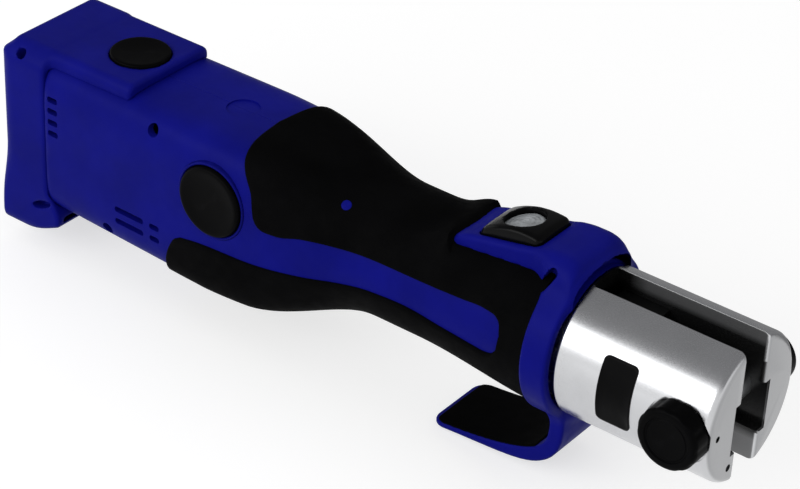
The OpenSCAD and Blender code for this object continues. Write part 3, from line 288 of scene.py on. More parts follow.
def block(name, low, high):
    """Plain box for cutting."""
    x, y, z = zip(low, high)
    verts = [(a, b, c) for a in x for b in y for c in z]
    faces = [(0, 1, 3, 2), (4, 6, 7, 5), (0, 4, 5, 1), (2, 3, 7, 6), (0, 2, 6, 4), (1, 5, 7, 3)]
    return make_piece(name, verts, faces)


def rod(name, radius, start, end, count=64):
    """Plain round bar for cutting."""
    start, end = Vector(start), Vector(end)
    return lathe(name, [(radius, 0), (radius, (end - start).length)], start, end - start, count)


def cut(piece, cutters, operation="DIFFERENCE", sharp=SHARP):
    """Cuts a piece with others, which are then removed."""
    for cutter in cutters:
        step = piece.modifiers.new("cut", "BOOLEAN")
        step.operation = operation
        step.solver = "EXACT"
        step.object = cutter
    bpy.context.view_layer.update()
    done = bpy.data.meshes.new_from_object(piece.evaluated_get(bpy.context.evaluated_depsgraph_get()))
    piece.modifiers.clear()
    old = piece.data
    piece.data = done
    done.name = piece.name
    bpy.data.meshes.remove(old)
    for cutter in cutters:
        bpy.data.objects.remove(cutter)
    if not len(done.polygons):
        raise RuntimeError(piece.name + " vanished in a cut")
    shade(piece, sharp)


# Fields for moulded shapes: negative inside, in millimetres

def smooth_min(a, b, k):
    h = np.clip(0.5 + 0.5 * (b - a) / k, 0, 1)
    return b + (a - b) * h - k * h * (1 - h)


def smooth_max(a, b, k):
    return -smooth_min(-a, -b, k)


def rect_field(u, v, low, high, radius):
    """Rounded rectangle in two coordinates; low and high may vary from point to point."""
    qu = np.abs(u - (low[0] + high[0]) / 2) - ((high[0] - low[0]) / 2 - radius)
    qv = np.abs(v - (low[1] + high[1]) / 2) - ((high[1] - low[1]) / 2 - radius)
    return (np.hypot(np.maximum(qu, 0), np.maximum(qv, 0)) + np.minimum(np.maximum(qu, qv), 0)) - radius


def drawn_out(flat, along, edge):
    """Flat field given a length, with rounded edges."""
    a, b = flat + edge, along + edge
    return np.minimum(np.maximum(a, b), 0) + np.hypot(np.maximum(a, 0), np.maximum(b, 0)) - edge


def between(x, low, high):
    return np.abs(x - (low + high) / 2) - (high - low) / 2


def box_field(x, y, z, low, high, radius):
    flat = rect_field(y, z, low[1:], high[1:], radius)
    return drawn_out(flat, between(x, low[0], high[0]), radius)


def net_piece(name, field, low, high, step):
    """Mesh of a field's zero surface: one point per crossed cell, then drawn onto the surface."""
    low, high = np.array(low, float), np.array(high, float)
    count = np.ceil((high - low) / step).astype(int) + 1
    grid = np.meshgrid(*[low[i] + step * np.arange(count[i]) for i in range(3)], indexing="ij")
    value = field(*grid)
    solid = value < 0
    corners = [(i, j, k) for i in (0, 1) for j in (0, 1) for k in (0, 1)]

    def corner(array, c):
        return array[tuple(slice(o, array.shape[a] - 1 + o) for a, o in enumerate(c))]

    total = sum(corner(solid, c).astype(np.int8) for c in corners)
    active = (total > 0) & (total < 8)
    index = np.full(active.shape, -1)
    cells = np.argwhere(active)
    index[active] = np.arange(len(cells))
    held = {c: corner(value, c)[active] for c in corners}
    point = np.zeros((len(cells), 3))
    hits = np.zeros(len(cells))
    for c in corners:
        for axis in range(3):
            if c[axis]:
                continue
            d = tuple(1 if a == axis else o for a, o in enumerate(c))
            crossed = (held[c] < 0) != (held[d] < 0)
            share = held[c] / np.where(crossed, held[c] - held[d], 1)
            spot = np.tile(np.array(c, float), (len(cells), 1))
            spot[:, axis] += share
            point += np.where(crossed[:, None], spot, 0)
            hits += crossed
    verts = low + step * (cells + point / hits[:, None])
    faces = []
    for axis in range(3):
        u, v = [a for a in range(3) if a != axis]
        first = solid[tuple(slice(0, -1) if a == axis else slice(None) for a in range(3))]
        second = solid[tuple(slice(1, None) if a == axis else slice(None) for a in range(3))]
        edge = np.argwhere(first != second)
        across = edge[:, [u, v]]
        edge = edge[((across > 0) & (across < count[[u, v]] - 1)).all(1)]
        around = []
        for du, dv in ((-1, -1), (0, -1), (0, 0), (-1, 0)):
            cell = edge.copy()
            cell[:, u] += du
            cell[:, v] += dv
            around.append(index[cell[:, 0], cell[:, 1], cell[:, 2]])
        faces.append(np.stack(around, 1))
    faces = np.concatenate(faces)
    tiny = step * 0.2
    for _ in range(4):
        here = field(*verts.T)
        slope = np.stack([(field(*(verts + tiny * e).T) - field(*(verts - tiny * e).T)) / (2 * tiny)
                          for e in np.eye(3)], 1)
        move = slope * (here / np.maximum((slope ** 2).sum(1), 0.05))[:, None]
        size = np.linalg.norm(move, axis=1, keepdims=True)
        verts = verts - move * np.minimum(1, 0.4 * step / np.maximum(size, 1e-9))
    return make_piece(name, verts, faces, NET_SHARP)


# Finishes

# Kinds of group socket by the size of their values, and the colour that fills an open one
SOCKETS = {1: "NodeSocketFloat", 3: "NodeSocketVector", 4: "NodeSocketColor"}
GREY = (0.5, 0.5, 0.5, 1)


def feed(tree, node, inputs):
    """Links each input to a socket, or sets a number or a colour on it."""
    for label, value in inputs.items():
        if isinstance(value, bpy.types.NodeSocket):
            tree.links.new(value, node.inputs[label])
        else:
            node.inputs[label].default_value = value if isinstance(value, (int, float)) else (*value, 1.0)


def new_node(tree, kind, inputs, **settings):
    node = tree.nodes.new(kind)
    for key, value in settings.items():
        setattr(node, key, value)
    feed(tree, node, inputs)
    return node


def new_group(name, inputs, outputs):
    """Node group, with its inputs' sockets and its output node."""
    group = bpy.data.node_groups.new(name, "ShaderNodeTree")
    for label, value in inputs.items():
        socket = group.interface.new_socket(label, in_out="INPUT", socket_type=SOCKETS[np.size(value)])
        socket.default_value = value
    for label in outputs:
        kind = SOCKETS[4 if label == "Colour" else 1]
        group.interface.new_socket(label, in_out="OUTPUT", socket_type=kind)
    return group, group.nodes.new("NodeGroupInput").outputs, group.nodes.new("NodeGroupOutput")


def noise(tree, vector, scale, detail=3.0, rough=0.55):
    inputs = {"Vector": vector, "Scale": scale, "Detail": detail, "Roughness": rough}
    return new_node(tree, "ShaderNodeTexNoise", inputs).outputs["Fac"]


def spread(tree, value, low, high, to_low=0.0, to_high=1.0):
    """Map Range with numbers or sockets for its ends."""
    inputs = {"Value": value, "From Min": low, "From Max": high, "To Min": to_low, "To Max": to_high}
    return new_node(tree, "ShaderNodeMapRange", inputs).outputs["Result"]


def mixed(tree, share, a, b):
    """Colour between two; a colour mix has its own sockets after those for numbers and vectors."""
    return new_node(tree, "ShaderNodeMix", {0: share, 6: a, 7: b}, data_type="RGBA").outputs[2]


def maths(tree, kind, a, b=0.0):
    return new_node(tree, "ShaderNodeMath", {0: a, 1: b}, operation=kind).outputs[0]


def object_place(tree, stretch=None):
    """Object coordinates, stretched if asked."""
    place = tree.nodes.new("ShaderNodeTexCoord").outputs["Object"]
    if not stretch:
        return place
    node = new_node(tree, "ShaderNodeMapping", {"Vector": place})
    node.inputs["Scale"].default_value = stretch
    return node.outputs["Vector"]


def grain_group():
    """Moulded or cast skin: fine grain, cloudy tone and roughness."""
    group, given, end = new_group(
        "surface_grain", {"Colour": GREY, "Tint": GREY, "Grain": 1800.0, "Smooth": 0.4, "Dull": 0.55},
        ("Colour", "Roughness", "Height"))
    place = object_place(group)
    tone = spread(group, noise(group, place, 38.0, 4.0), 0.35, 0.65)
    patch = noise(group, place, 160.0, 5.0, 0.65)
    feed(group, end, {"Colour": mixed(group, tone, given["Colour"], given["Tint"]),
                      "Roughness": spread(group, patch, 0.3, 0.7, given["Smooth"], given["Dull"]),
                      "Height": noise(group, place, given["Grain"], 2.0)})
    return group


def rub_group():
    """Edges rubbed lighter by handling."""
    group, given, end = new_group(
        "rubbed_edges", {"Colour": GREY, "Rubbed": GREY, "Reach": 0.55}, ("Colour",))
    point = group.nodes.new("ShaderNodeNewGeometry").outputs["Pointiness"]
    edge = spread(group, point, 0.53, 0.60, 0.0, given["Reach"])
    broken = spread(group, noise(group, object_place(group), 420.0, 4.0, 0.7), 0.4, 0.65)
    mask = maths(group, "MULTIPLY", edge, broken)
    feed(group, end, {"Colour": mixed(group, mask, given["Colour"], given["Rubbed"])})
    return group


def brushed_group():
    """Satin metal: fine lines along one direction, faint stains."""
    group, given, end = new_group(
        "brushed_lines", {"Colour": GREY, "Stain": GREY, "Vector": (0, 0, 0), "Smooth": 0.22, "Dull": 0.36},
        ("Colour", "Roughness", "Height"))
    lines = noise(group, given["Vector"], 900.0, 3.0, 0.6)
    cloud = noise(group, object_place(group), 70.0, 5.0, 0.6)
    tone = spread(group, cloud, 0.42, 0.75, 0.0, 0.55)
    both = maths(group, "ADD", maths(group, "MULTIPLY", lines, 0.7), maths(group, "MULTIPLY", cloud, 0.3))
    feed(group, end, {"Colour": mixed(group, tone, given["Colour"], given["Stain"]),
                      "Roughness": spread(group, both, 0.35, 0.65, given["Smooth"], given["Dull"]),
                      "Height": lines})
    return group


GROUPS = {}


def group_of(name):
    if name not in GROUPS:
        GROUPS[name] = {"grain": grain_group, "rub": rub_group, "brushed": brushed_group}[name]()
    return GROUPS[name]


def blank(name):
    material = bpy.data.materials.new(name)
    material.use_nodes = True
    return material, material.node_tree, material.node_tree.nodes["Principled BSDF"]


def place_group(tree, name, **values):
    return new_node(tree, "ShaderNodeGroup", values, node_tree=group_of(name)).outputs


def bumped(tree, height, strength, distance):
    """Normal of a surface raised by a height."""
    inputs = {"Height": height, "Strength": strength, "Distance": distance}
    return new_node(tree, "ShaderNodeBump", inputs).outputs["Normal"]


def moulded(name, base, tint, rubbed, grain, rough, strength,
            depth=0.00006, reach=0.5, metallic=0.0, level=0.5):
    """Plastic or cast finish with grain, cloudy tone and rubbed edges."""
    material, tree, shader = blank(name)
    skin = place_group(tree, "grain", Colour=base, Tint=tint, Grain=grain, Smooth=rough[0], Dull=rough[1])
    worn = place_group(tree, "rub", Colour=skin["Colour"], Rubbed=rubbed, Reach=reach)
    feed(tree, shader, {"Base Color": worn["Colour"], "Roughness": skin["Roughness"], "Metallic": metallic,
                        "Specular IOR Level": level, "Normal": bumped(tree, skin["Height"], strength, depth)})
    return material


def satin(name, base, stain, stretch, rough):
    """Metal with fine lines."""
    material, tree, shader = blank(name)
    lines = place_group(tree, "brushed", Colour=base, Stain=stain, Smooth=rough[0], Dull=rough[1],
                        Vector=object_place(tree, stretch))
    feed(tree, shader, {"Base Color": lines["Colour"], "Roughness": lines["Roughness"], "Metallic": 1.0,
                        "Normal": bumped(tree, lines["Height"], 0.12, 0.00003)})
    return material


def shades(rgb, *factors):
    """One colour at several strengths."""
    return [tuple(min(1.0, c * factor) for c in rgb) for factor in factors]


def fork_finish(base):
    """Satin steel with darker end faces, and painted shade on the slot and lug step walls: black deep in the
    slot and near its root, with painted light along their upper and lower edges.
    """
    stain, darker_end_tone = shades(base, 0.86, 0.6)
    material = satin("fork_satin_painted_slot_shade", base, stain, (1.0, 14.0, 14.0), (0.20, 0.30))
    tree = material.node_tree
    shader = tree.nodes["Principled BSDF"]
    satin_tone = shader.inputs["Base Color"].links[0].from_socket
    x, y, z = new_node(tree, "ShaderNodeSeparateXYZ", {0: object_place(tree)}).outputs
    away = maths(tree, "ABSOLUTE", y)

    def past(place, low, high, *ends):
        """Change between two places in millimetres."""
        return spread(tree, place, low * MM, high * MM, *ends)

    # End faces: the steel's colour is made darker there.
    ends = past(x, 398.9, 399.6)
    rim = past(maths(tree, "ABSOLUTE", z), 18.0, 18.5)
    beyond_step = maths(tree, "MAXIMUM", maths(tree, "MAXIMUM", ends, rim), past(away, 13.5, 13.6))
    outside = maths(tree, "MULTIPLY", past(away, 9.1, 9.2), beyond_step)
    # Painted shade on the slot and lug step walls: the steel's colour goes to black at mid height and near
    # the slot's root, with painted light along the walls' upper and lower edges.
    painted_slot_light = maths(tree, "ADD", past(z, -22, -18, 0.5, 0.015), past(z, 25, 28, 0.0, 0.13))
    painted_slot_light = maths(tree, "MULTIPLY", painted_slot_light, past(x, 331, 340, 0.05, 1.0))
    painted_slot_shade = mixed(tree, painted_slot_light, (0, 0, 0), base)
    feed(tree, shader, {"Base Color": mixed(tree, outside, painted_slot_shade, mixed(tree, ends, satin_tone, darker_end_tone)),
                        "Metallic": outside})
    return material


def window_finish(base):
    """Frosted light window: pale and cloudy, with sparkle."""
    material, tree, shader = blank("window_frosted")
    place = object_place(tree)
    cells = new_node(tree, "ShaderNodeTexVoronoi", {"Vector": place, "Scale": 420.0}).outputs["Distance"]
    tone = spread(tree, noise(tree, place, 190.0, 4.0), 0.35, 0.65)
    feed(tree, shader, {"Base Color": mixed(tree, tone, *shades(base, 0.62, 1.15)),
                        "Roughness": spread(tree, cells, 0.0, 0.6, 0.12, 0.32), "Coat Weight": 0.4,
                        "Normal": bumped(tree, cells, 0.5, 0.0004)})
    return material


FINISHES = {}


def make_finishes():
    hue = colours()
    inner, rub = tuple(hue.inner_steel), tuple(hue.housing_rub)
    FINISHES.update({
        "housing": moulded("housing_blue", *shades(hue.housing, 1, 1.22), rub,
                           2600.0, (0.42, 0.54), 0.22, level=0.045),
        "grip": moulded("grip_soft", *shades(hue.grip, 1, 1.5, 3.0),
                        1500.0, (0.62, 0.78), 0.45, 0.00012, 0.35, level=0.016),
        "plastic": moulded("black_plastic", *shades(hue.plastic, 1, 1.4, 3.5),
                           2400.0, (0.32, 0.44), 0.18, level=0.022),
        "gloss": moulded("window_black", *shades(hue.plastic, 1, 1.3, 2.5),
                         2000.0, (0.18, 0.26), 0.06, level=0.08),
        "plate": moulded("plate_black", *shades(hue.plastic, 1.1, 1.6, 4.0),
                         1300.0, (0.28, 0.40), 0.10, level=0.04),
        "fork": fork_finish(tuple(hue.steel)),
        "oxide": satin("black_oxide", *shades(inner, 0.06, 0.03), (6.0, 1.0, 1.0), (0.36, 0.5)),
        "steel": satin("machined_steel", *shades(inner, 1, 0.7), (9.0, 1.0, 1.0), (0.26, 0.40)),
        "dark_steel": satin("dark_steel", *shades(inner, 0.55, 0.35), (6.0, 1.0, 1.0), (0.32, 0.46)),
        "alloy": satin("pump_alloy", *shades(inner, 1.25, 0.9), (5.0, 1.0, 1.0), (0.34, 0.5)),
        "bronze": satin("plain_bronze", (0.45, 0.27, 0.08), (0.30, 0.17, 0.06), (7.0, 1.0, 1.0), (0.25, 0.4)),
        "copper": moulded("wound_copper", (0.33, 0.12, 0.045), (0.24, 0.08, 0.03), (0.5, 0.25, 0.12),
                          900.0, (0.3, 0.5), 0.5, 0.0003, metallic=0.6),
        "board": moulded("circuit_board", (0.012, 0.10, 0.035), (0.02, 0.13, 0.05), (0.25, 0.22, 0.10),
                         700.0, (0.3, 0.45), 0.25),
        "rubber": moulded("seal_rubber", (0.012, 0.012, 0.012), (0.02, 0.02, 0.02), (0.05, 0.05, 0.05),
                          1200.0, (0.6, 0.8), 0.3),
        # Reset cup: the housing's blue made darker, as painted shade in the recess round the button.
        "recess": moulded("cup_blue_painted_shade", *shades(hue.housing, 0.75, 1), rub,
                          2600.0, (0.42, 0.55), 0.2, level=0.045),
        "glass": window_finish(tuple(hue.glass)),
    })


def paint(piece, finish):
    piece.data.materials.clear()
    piece.data.materials.append(FINISHES[finish])


def finish_piece(piece, finish, body, slot, *nodes):
    paint(piece, finish)
    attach(piece, body)
    if nodes:
        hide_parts(*nodes)
    return piece


class PressToolOperator:
    bl_options = {"REGISTER"}

    def execute(self, context):
        self.make(sizes())
        return {"FINISHED"}


class PRESSTOOL_OT_finishes(PressToolOperator, bpy.types.Operator):
    """Make the materials"""
    bl_idname = "press_tool.finishes"
    bl_label = "Finishes"

    def make(self, size):
        make_finishes()


# Vents in the housing's sides: rear end, front end and lower edge, and their height
VENTS = [(33.6, 40.0, 1.0 + 6.0 * i) for i in range(4)]
VENTS += [(*ends, -23.0 - 6.5 * i) for i in range(2) for ends in ((76.5, 94.5), (98.5, 104.5))]
VENT_HIGH = 3.0

# Screws seen from the right, as station and height
SCREWS = [(99.8, 29), (70, -36.1)]

# Housing's rounded rear edge: distances from the shoe and drops there
REAR_EDGE = ([0, 0.25, 0.9, 1.8, 3], [-1.1, -0.55, -0.22, -0.06, 0])

# Half the gap between the housing's halves
SPLIT = 0.08


class PRESSTOOL_OT_housing(PressToolOperator, bpy.types.Operator):
    """Build the two housing halves with their vents and screw recesses"""
    bl_idname = "press_tool.housing"
    bl_label = "Housing"

    def spaced(self, run):
        """Distances round one half, close together at the part line."""
        return np.concatenate([[0, 0.35], np.linspace(1.2, run - 1.2, 62), [run - 0.35, run]])

    def half(self, name, side, size):
        groove, start = size["part_line"], size["shoe_depth"]
        near, drops = REAR_EDGE
        stations = np.concatenate([start + np.array(near[:-1]), np.linspace(start + near[-1], BODY_END, 146)])
        rings = []
        for x, drop in zip(stations, np.interp(stations - start, near, drops)):
            y, z, _ = skin_curve(x, drop, 0, 180, self.spaced)
            z[[0, -1]] += -groove, groove
            y[[0, -1]] = SPLIT
            inner_y, inner_z, _ = skin_curve(x, -size["wall"], 180, 0, np.linspace(0, 1, 34))
            y = side * np.concatenate([y, np.maximum(inner_y, SPLIT)])
            rings.append(np.stack([np.full(len(y), x), y, np.concatenate([z, inner_z])], 1))
        piece = loft(name, rings)
        cutters = [self.vent(side, *vent) for vent in VENTS]
        cutters += [rod("guide_hole", 16.4, (RELEASE, 0, 29), (RELEASE, 0, 60)),
                    rod("top_dimple", 8.0, (126, 0, 36.3), (126, 0, 60)), block("trigger_gap", *TRIGGER_GAP)]
        if side < 0:
            x, _, z = RESET
            cutters.append(rod("reset_hole", 19.35, (x, -29, z), (x, -60, z), 96))
            cutters += [rod("screw_hole", 3.1, (x, -24.5, z), (x, -60, z), 40) for x, z in SCREWS]
        cut(piece, cutters)
        return piece

    def vent(self, side, rear, front, low):
        """Cutter with round ends."""
        middle = ((rear + front) / 2, low + VENT_HIGH / 2)
        outline = rounded_rect((front - rear) / 2, VENT_HIGH / 2, 1.2, 5) + middle
        return loft("vent", [[(u, side * y, v) for u, v in outline] for y in (24, 40)])

    def make(self, size):
        for name, side, node in (("housing_right", -1, "right_shell"), ("housing_left", 1, "left_shell")):
            finish_piece(self.half(name, side, size), "housing", "housing", "blue_housing", node)


# Edges of the soft covers as (station, height) and (share round the cover, station)
STRIPE_TOP = [(150, 5.0), (166, 4.0), (174, 4.2), (187, 7.4), (202, 9.2), (228, 10.7), (250, 10.9),
              (272, 12.4), (284, 13.6), (290, 13.4), (293.4, 12.0), (295.2, 9.6), (296, 6.0), (312, 6.0)]
STRIPE_LOW = [(100, -22.5), (116, -19.8), (131, -17.3), (161, -15.5), (187.6, -12.1), (206, -8.2),
              (224.7, -4.7), (242, -3.6), (264, -5.2), (286, -5.6), (291.5, -4.6), (294.4, -1.6),
              (295.7, 2.0), (296, 6.0), (312, 6.0)]
UPPER_REAR = [(0, 146.5), (0.28, 148.4), (0.5, 151.7), (0.6, 155.0), (0.73, 159.8), (0.92, 161.8),
              (0.97, 164.0), (1, 168.5)]
LOWER_REAR = [(0, 118.0), (0.04, 113.6), (0.3, 108.0), (1, 104.5)]
COVER_END = 308.7
SEAM = 296.0

# Distances from a cover's edge of the rows that round it, then the heights of its inner face and lowest edge
RIM = [0, 0.12, 0.4, 0.9, 1.6]
COVER_UNDER, COVER_LEAST = 0.03, 0.06


class PRESSTOOL_OT_grips(PressToolOperator, bpy.types.Operator):
    """Build the soft covers over and under the grip"""
    bl_idname = "press_tool.grips"
    bl_label = "Grips"

    def brow(self, x, y, z):
        """Height of the upper cover, which rises to the window hump behind it."""
        shelf = 24.0 + 9.2 * ramp(x, 232, 257) - 14.0 * ramp(x, 256.5, 260)
        shoulder = 2.2 * max(0.0, abs(y) - 18.0)
        return float(smooth_max(z, shelf - shoulder, 3.0))

    def cover(self, name, rear, edge, over, size):
        """Cover from its rear edge to the nose, over or under an edge of the stripe."""
        depth, roll = size["grip_depth"], size["grip_roll"]
        first = min(x for _, x in rear)
        bend, count = (136, 62) if over else (178, 76)
        rows = np.concatenate([RIM, np.linspace(3.5, bend, count), np.linspace(bend + 0.8, bend + 16, 24),
                               np.linspace(bend + 17, COVER_END - first, 8)])
        shares = np.concatenate([np.array(RIM) / 60, np.linspace(0.05, 1, 26)])
        shares = np.concatenate([shares, 2 - shares[-2::-1]])
        outer, inner = [], []
        for row in rows:
            for share in shares:
                side, s = (-1, share) if share <= 1 else (1, 2 - share)
                start = float(smooth_curve(rear, 1 - s if over else s))
                x = start + row * (COVER_END - start) / (COVER_END - first)
                span = (skin_angle(x, float(smooth_curve(edge, x))), 0 if over else 180)
                run = skin_curve(x, 0, *span, [0], 120)[2]
                near = min(s * run if x < SEAM else roll, row, roll)
                lift = depth * math.sqrt(max(0.0, 1 - (1 - near / roll) ** 2))
                y, z, _ = skin_curve(x, max(lift, COVER_LEAST), *span, [s], 240)
                outer.append((x, side * y[0], self.brow(x, y[0], z[0]) if over else z[0]))
                y, z, _ = skin_curve(x, COVER_UNDER, *span, [s], 240)
                inner.append((x, side * y[0], z[0]))
        m, n = len(rows), len(shares)
        faces = []
        low = m * n
        for i in range(m - 1):
            for j in range(n - 1):
                a = i * n + j
                faces.append((a, a + 1, a + n + 1, a + n))
                faces.append((low + a, low + a + n, low + a + n + 1, low + a + 1))
        for j in range(n - 1):
            faces.append((j, low + j, low + j + 1, j + 1))
            k = (m - 1) * n + j
            faces.append((k, k + 1, low + k + 1, low + k))
        for i in range(m - 1):
            a, b = i * n, i * n + n - 1
            faces.append((a, a + n, low + a + n, low + a))
            faces.append((b, low + b, low + b + n, b + n))
        return make_piece(name, outer + inner, faces, COVER_SHARP)

    def make(self, size):
        upper = self.cover("grip_upper", UPPER_REAR, STRIPE_TOP, True, size)
        finish_piece(upper, "grip", "housing", "black_grip", "upper_grip")
        lower = self.cover("grip_lower", LOWER_REAR, STRIPE_LOW, False, size)
        cut(lower, [block("trigger_gap", *TRIGGER_GAP)], sharp=COVER_SHARP)
        finish_piece(lower, "grip", "housing", "black_grip", "lower_grip")
        profile = [(2.4, -1.0), (2.4, 1.35)] + arc((2.0, 1.35), 0.4, 0, 90, 4) + [(0.01, 1.8)]
        dot = lathe("grip_dot", profile, (202.4, -19.7, 25.3), (0.226, -0.596, 0.770), 40)
        finish_piece(dot, "housing", "housing", "blue_housing")


class PRESSTOOL_OT_shoe(PressToolOperator, bpy.types.Operator):
    """Build the battery shoe with its saddle, rails and terminal recess"""
    bl_idname = "press_tool.shoe"
    bl_label = "Battery shoe"

    def make(self, size):
        half, deep = size["shoe_width"] / 2, size["shoe_depth"]
        edge, corner, top = size["shoe_edge"], size["shoe_corner"], 39.5

        def field(x, y, z):
            flat = rect_field(y, z, (-half, -60.0), (half, top), corner)
            reach = deep + 7.0 * ramp(-z, 30.0, 46.0)
            sole = 0.903 * (0.476 * (x - 17.0) - 60.0 - z)
            turn = 2.5 + 8.5 * ramp(z, -52.0, -14.0)
            plan = rect_field(x, y, (0.0, -half), (deep + 20.0, half), turn)
            slab = smooth_max(drawn_out(flat, between(x, 0.0, reach), edge), plan, 1.5)
            slab = smooth_max(slab, sole, 3.0)
            slab = smooth_max(slab, rect_field(x, z, (0.0, -120.0), (deep + 20.0, top), 11.0), 2.0)
            flat = rect_field(y, z, (-27.5, 15.0), (27.5, 42.0), 4.5)
            saddle = drawn_out(flat, between(x, 8.0, 81.1), 2.2)
            whole = smooth_min(slab, saddle, 5.0)
            core = np.maximum(skin_field(x, y, z, 0.12), deep + 0.05 - x)
            whole = smooth_max(whole, -core, 0.7)
            # Room inside, latch opening, terminal recess and the foot's hollow
            hollow = box_field(x, y, z, (12, -28.5, -58.2), (deep + 16, 28.5, -45.5), 1.5)
            cuts = [box_field(x, y, z, (4, -18, -36), (deep + 9, 18, 34.0), 2.0),
                    box_field(x, y, z, (-5, -9.3, 21.5), (5, 9.3, 36), 1.0),
                    box_field(x, y, z, (-5, -11, -44), (13, 11, -24), 1.0), np.maximum(hollow, sole + 1.7)]
            # On each side: rail, screws, eye hole and slanted hole
            for s in (-1, 1):
                for rear, middle, out in ((-5, 26, 2.5), (3, 24.5, 4)):
                    low, high = (rear, s * middle - out, -90), (7, s * middle + out, 18)
                    cuts.append(box_field(x, y, z, low, high, 0.5))
                for height in (25.0, -29.0):
                    away = np.hypot(y - s * 24, z - height)
                    cuts.append(np.maximum(away - 3.1, x - 9.5))
                    cuts.append(np.maximum(away - 1.6, x - deep - 5))
                eye = np.hypot(x - 15.7, (z - 37.3 - s * y + 30.6) * 0.707)
                cuts.append(np.maximum(eye - 2.7, 42.0 - (z + s * y) * 0.707))
                along = (x - 27.0) * 0.92 + (z + 40.6) * 0.39
                across = (z + 40.6) * 0.92 - (x - 27.0) * 0.39
                cuts.append(np.maximum(np.hypot(along * 0.33, across) - 2.1, 27.0 - s * y))
            # Release button's well, wider under the saddle
            away = np.hypot(x - RELEASE, y)
            cuts.append(np.maximum(away - 14.8, 20.0 - z))
            cuts.append(np.maximum(np.maximum(away - 16.2, z - 39.4), 20.0 - z))
            for each in cuts:
                whole = smooth_max(whole, -each, 0.5)
            return whole

        low, high = (-1.5, -34.5, -61.5), (82.6, 34.5, 43.5)
        piece = net_piece("battery_shoe_shell", field, low, high, size["net_step"])
        finish_piece(piece, "housing", "housing", "blue_housing", "battery_shoe")


# Nose: top line of the hump, of the window frame and centre line of the guard
HUMP_TOP = [(250, 25.0), (256, 30.5), (259, 32.6), (263, 34.2), (267, 35.2), (283, 38.4), (297, 41.4),
            (303, 43.3), (309, 44.0), (314, 44.0), (318, 43.3), (320.5, 41.6), (322, 39.0)]
DOME_TOP = [(264, 34.6), (267, 37.6), (271, 40.3), (277, 43.1), (284, 45.1), (290, 45.7), (295, 45.5),
            (299, 44.3), (303, 41.9)]
GUARD_LINE = [(318.5, -34.5), (321.0, -61.5), (304.0, -62.6), (253.0, -67.1)]


def segment(u, v, start, step):
    """Share along a straight line and the distance to it."""
    t = np.clip(((u - start[0]) * step[0] + (v - start[1]) * step[1]) / np.dot(step, step), 0, 1)
    return t, np.hypot(u - start[0] - t * step[0], v - start[1] - t * step[1])


def guard_distance(x, z):
    """Distance to the guard's centre line, signed side and share along it."""
    a, b, c, d = [np.array(p) for p in GUARD_LINE]
    t = np.linspace(0, 1, 60)[:, None]
    line = (1 - t) ** 3 * a + 3 * (1 - t) ** 2 * t * b + 3 * (1 - t) * t * t * c + t ** 3 * d
    best, side, along = (np.full(np.shape(x), v) for v in (1e9, 0.0, 0.0))
    for i, (start, step) in enumerate(zip(line, np.diff(line, axis=0))):
        t, gap = segment(x, z, start, step)
        nearer = gap < best
        best = np.where(nearer, gap, best)
        side = np.where(nearer, np.sign(step[0] * (z - start[1]) - step[1] * (x - start[0])), side)
        along = np.where(nearer, (i + t) / (len(line) - 1), along)
    return best, side, along


def guard_plan(x, y, half, tail=252.8):
    """Bar with round corners at its tail, seen from above."""
    return rect_field(x, y, (tail, -half), (360.0, half), 7.0)


def guard_half(thick, along):
    """Half thickness of the guard, less toward its tail."""
    return thick / 2 - 2.25 * ramp(along, 0.45, 0.97)


class PRESSTOOL_OT_nose(PressToolOperator, bpy.types.Operator):
    """Build the collar with its window hump and finger guard"""
    bl_idname = "press_tool.nose"
    bl_label = "Nose"

    def make(self, size):
        edge, thick, wide = size["collar_edge"], size["guard_depth"], size["guard_width"] / 2

        def field(x, y, z):
            r = np.hypot(y, z)
            ring = rect_field(x, r, (COLLAR, 20.0), (COLLAR_END, 37.5), edge)
            top = smooth_curve(HUMP_TOP, x)
            front = ramp(x, 298, 311)
            half = 15.9 + 4.6 * front
            flat = rect_field(y, z, (-half, 12.0), (half, top), 2.6 + 6.4 * front)
            hump = drawn_out(flat, between(x, 256.5, COLLAR_END), 1.6)
            whole = smooth_min(ring, hump, 3.0 + 5.0 * front)
            gap, _, along = guard_distance(x, z)
            guard = drawn_out(gap - guard_half(thick, along), guard_plan(x, y, wide), 1.2)
            whole = smooth_min(whole, guard, 5.0)
            bore = np.where(x < COLLAR, section(x)[0] + 1.62, 34.62)
            bore = bore - 1.45 * ramp(x, 318.6, 319.6)
            whole = smooth_max(whole, bore - r, 0.8)
            pocket = rect_field(x, y, (267.0, -12.5), (299.0, 12.5), 3.0)
            whole = smooth_max(whole, -np.maximum(pocket, 30.0 - z), 0.7)
            groove = segment(x, z, (307.6, 31.0), (3.6, 6.6))[1] - 2.2
            return smooth_max(whole, -np.maximum(groove, 14.0 - np.abs(y)), 0.7)

        piece = net_piece("nose_shell", field, (250.5, -39, -70.5), (323.5, 39, 45.5), size["net_step"])
        finish_piece(piece, "housing", "housing", "blue_housing", "nose_collar")

        def pad_field(x, y, z):
            gap, side, along = guard_distance(x, z)
            plan = guard_plan(x, y, wide - 0.6, 253.4)
            half = guard_half(thick, along)
            swell = half + 0.1 + 0.8 * np.clip(1 - np.abs(y) / wide, 0, 1) ** 0.3
            band = np.maximum(np.maximum(gap - swell, half - 0.8 - gap), np.where(side < 0, -9.0, 9.0))
            ends = np.maximum(0.40 - along, along - 0.985) * 100.0
            return smooth_max(smooth_max(band, plan, 0.8), ends, 0.8)

        pad = net_piece("guard_pad", pad_field, (251.5, -20.5, -68), (319, 20.5, -44), 0.6)
        finish_piece(pad, "grip", "housing", "black_grip", "guard_liner")


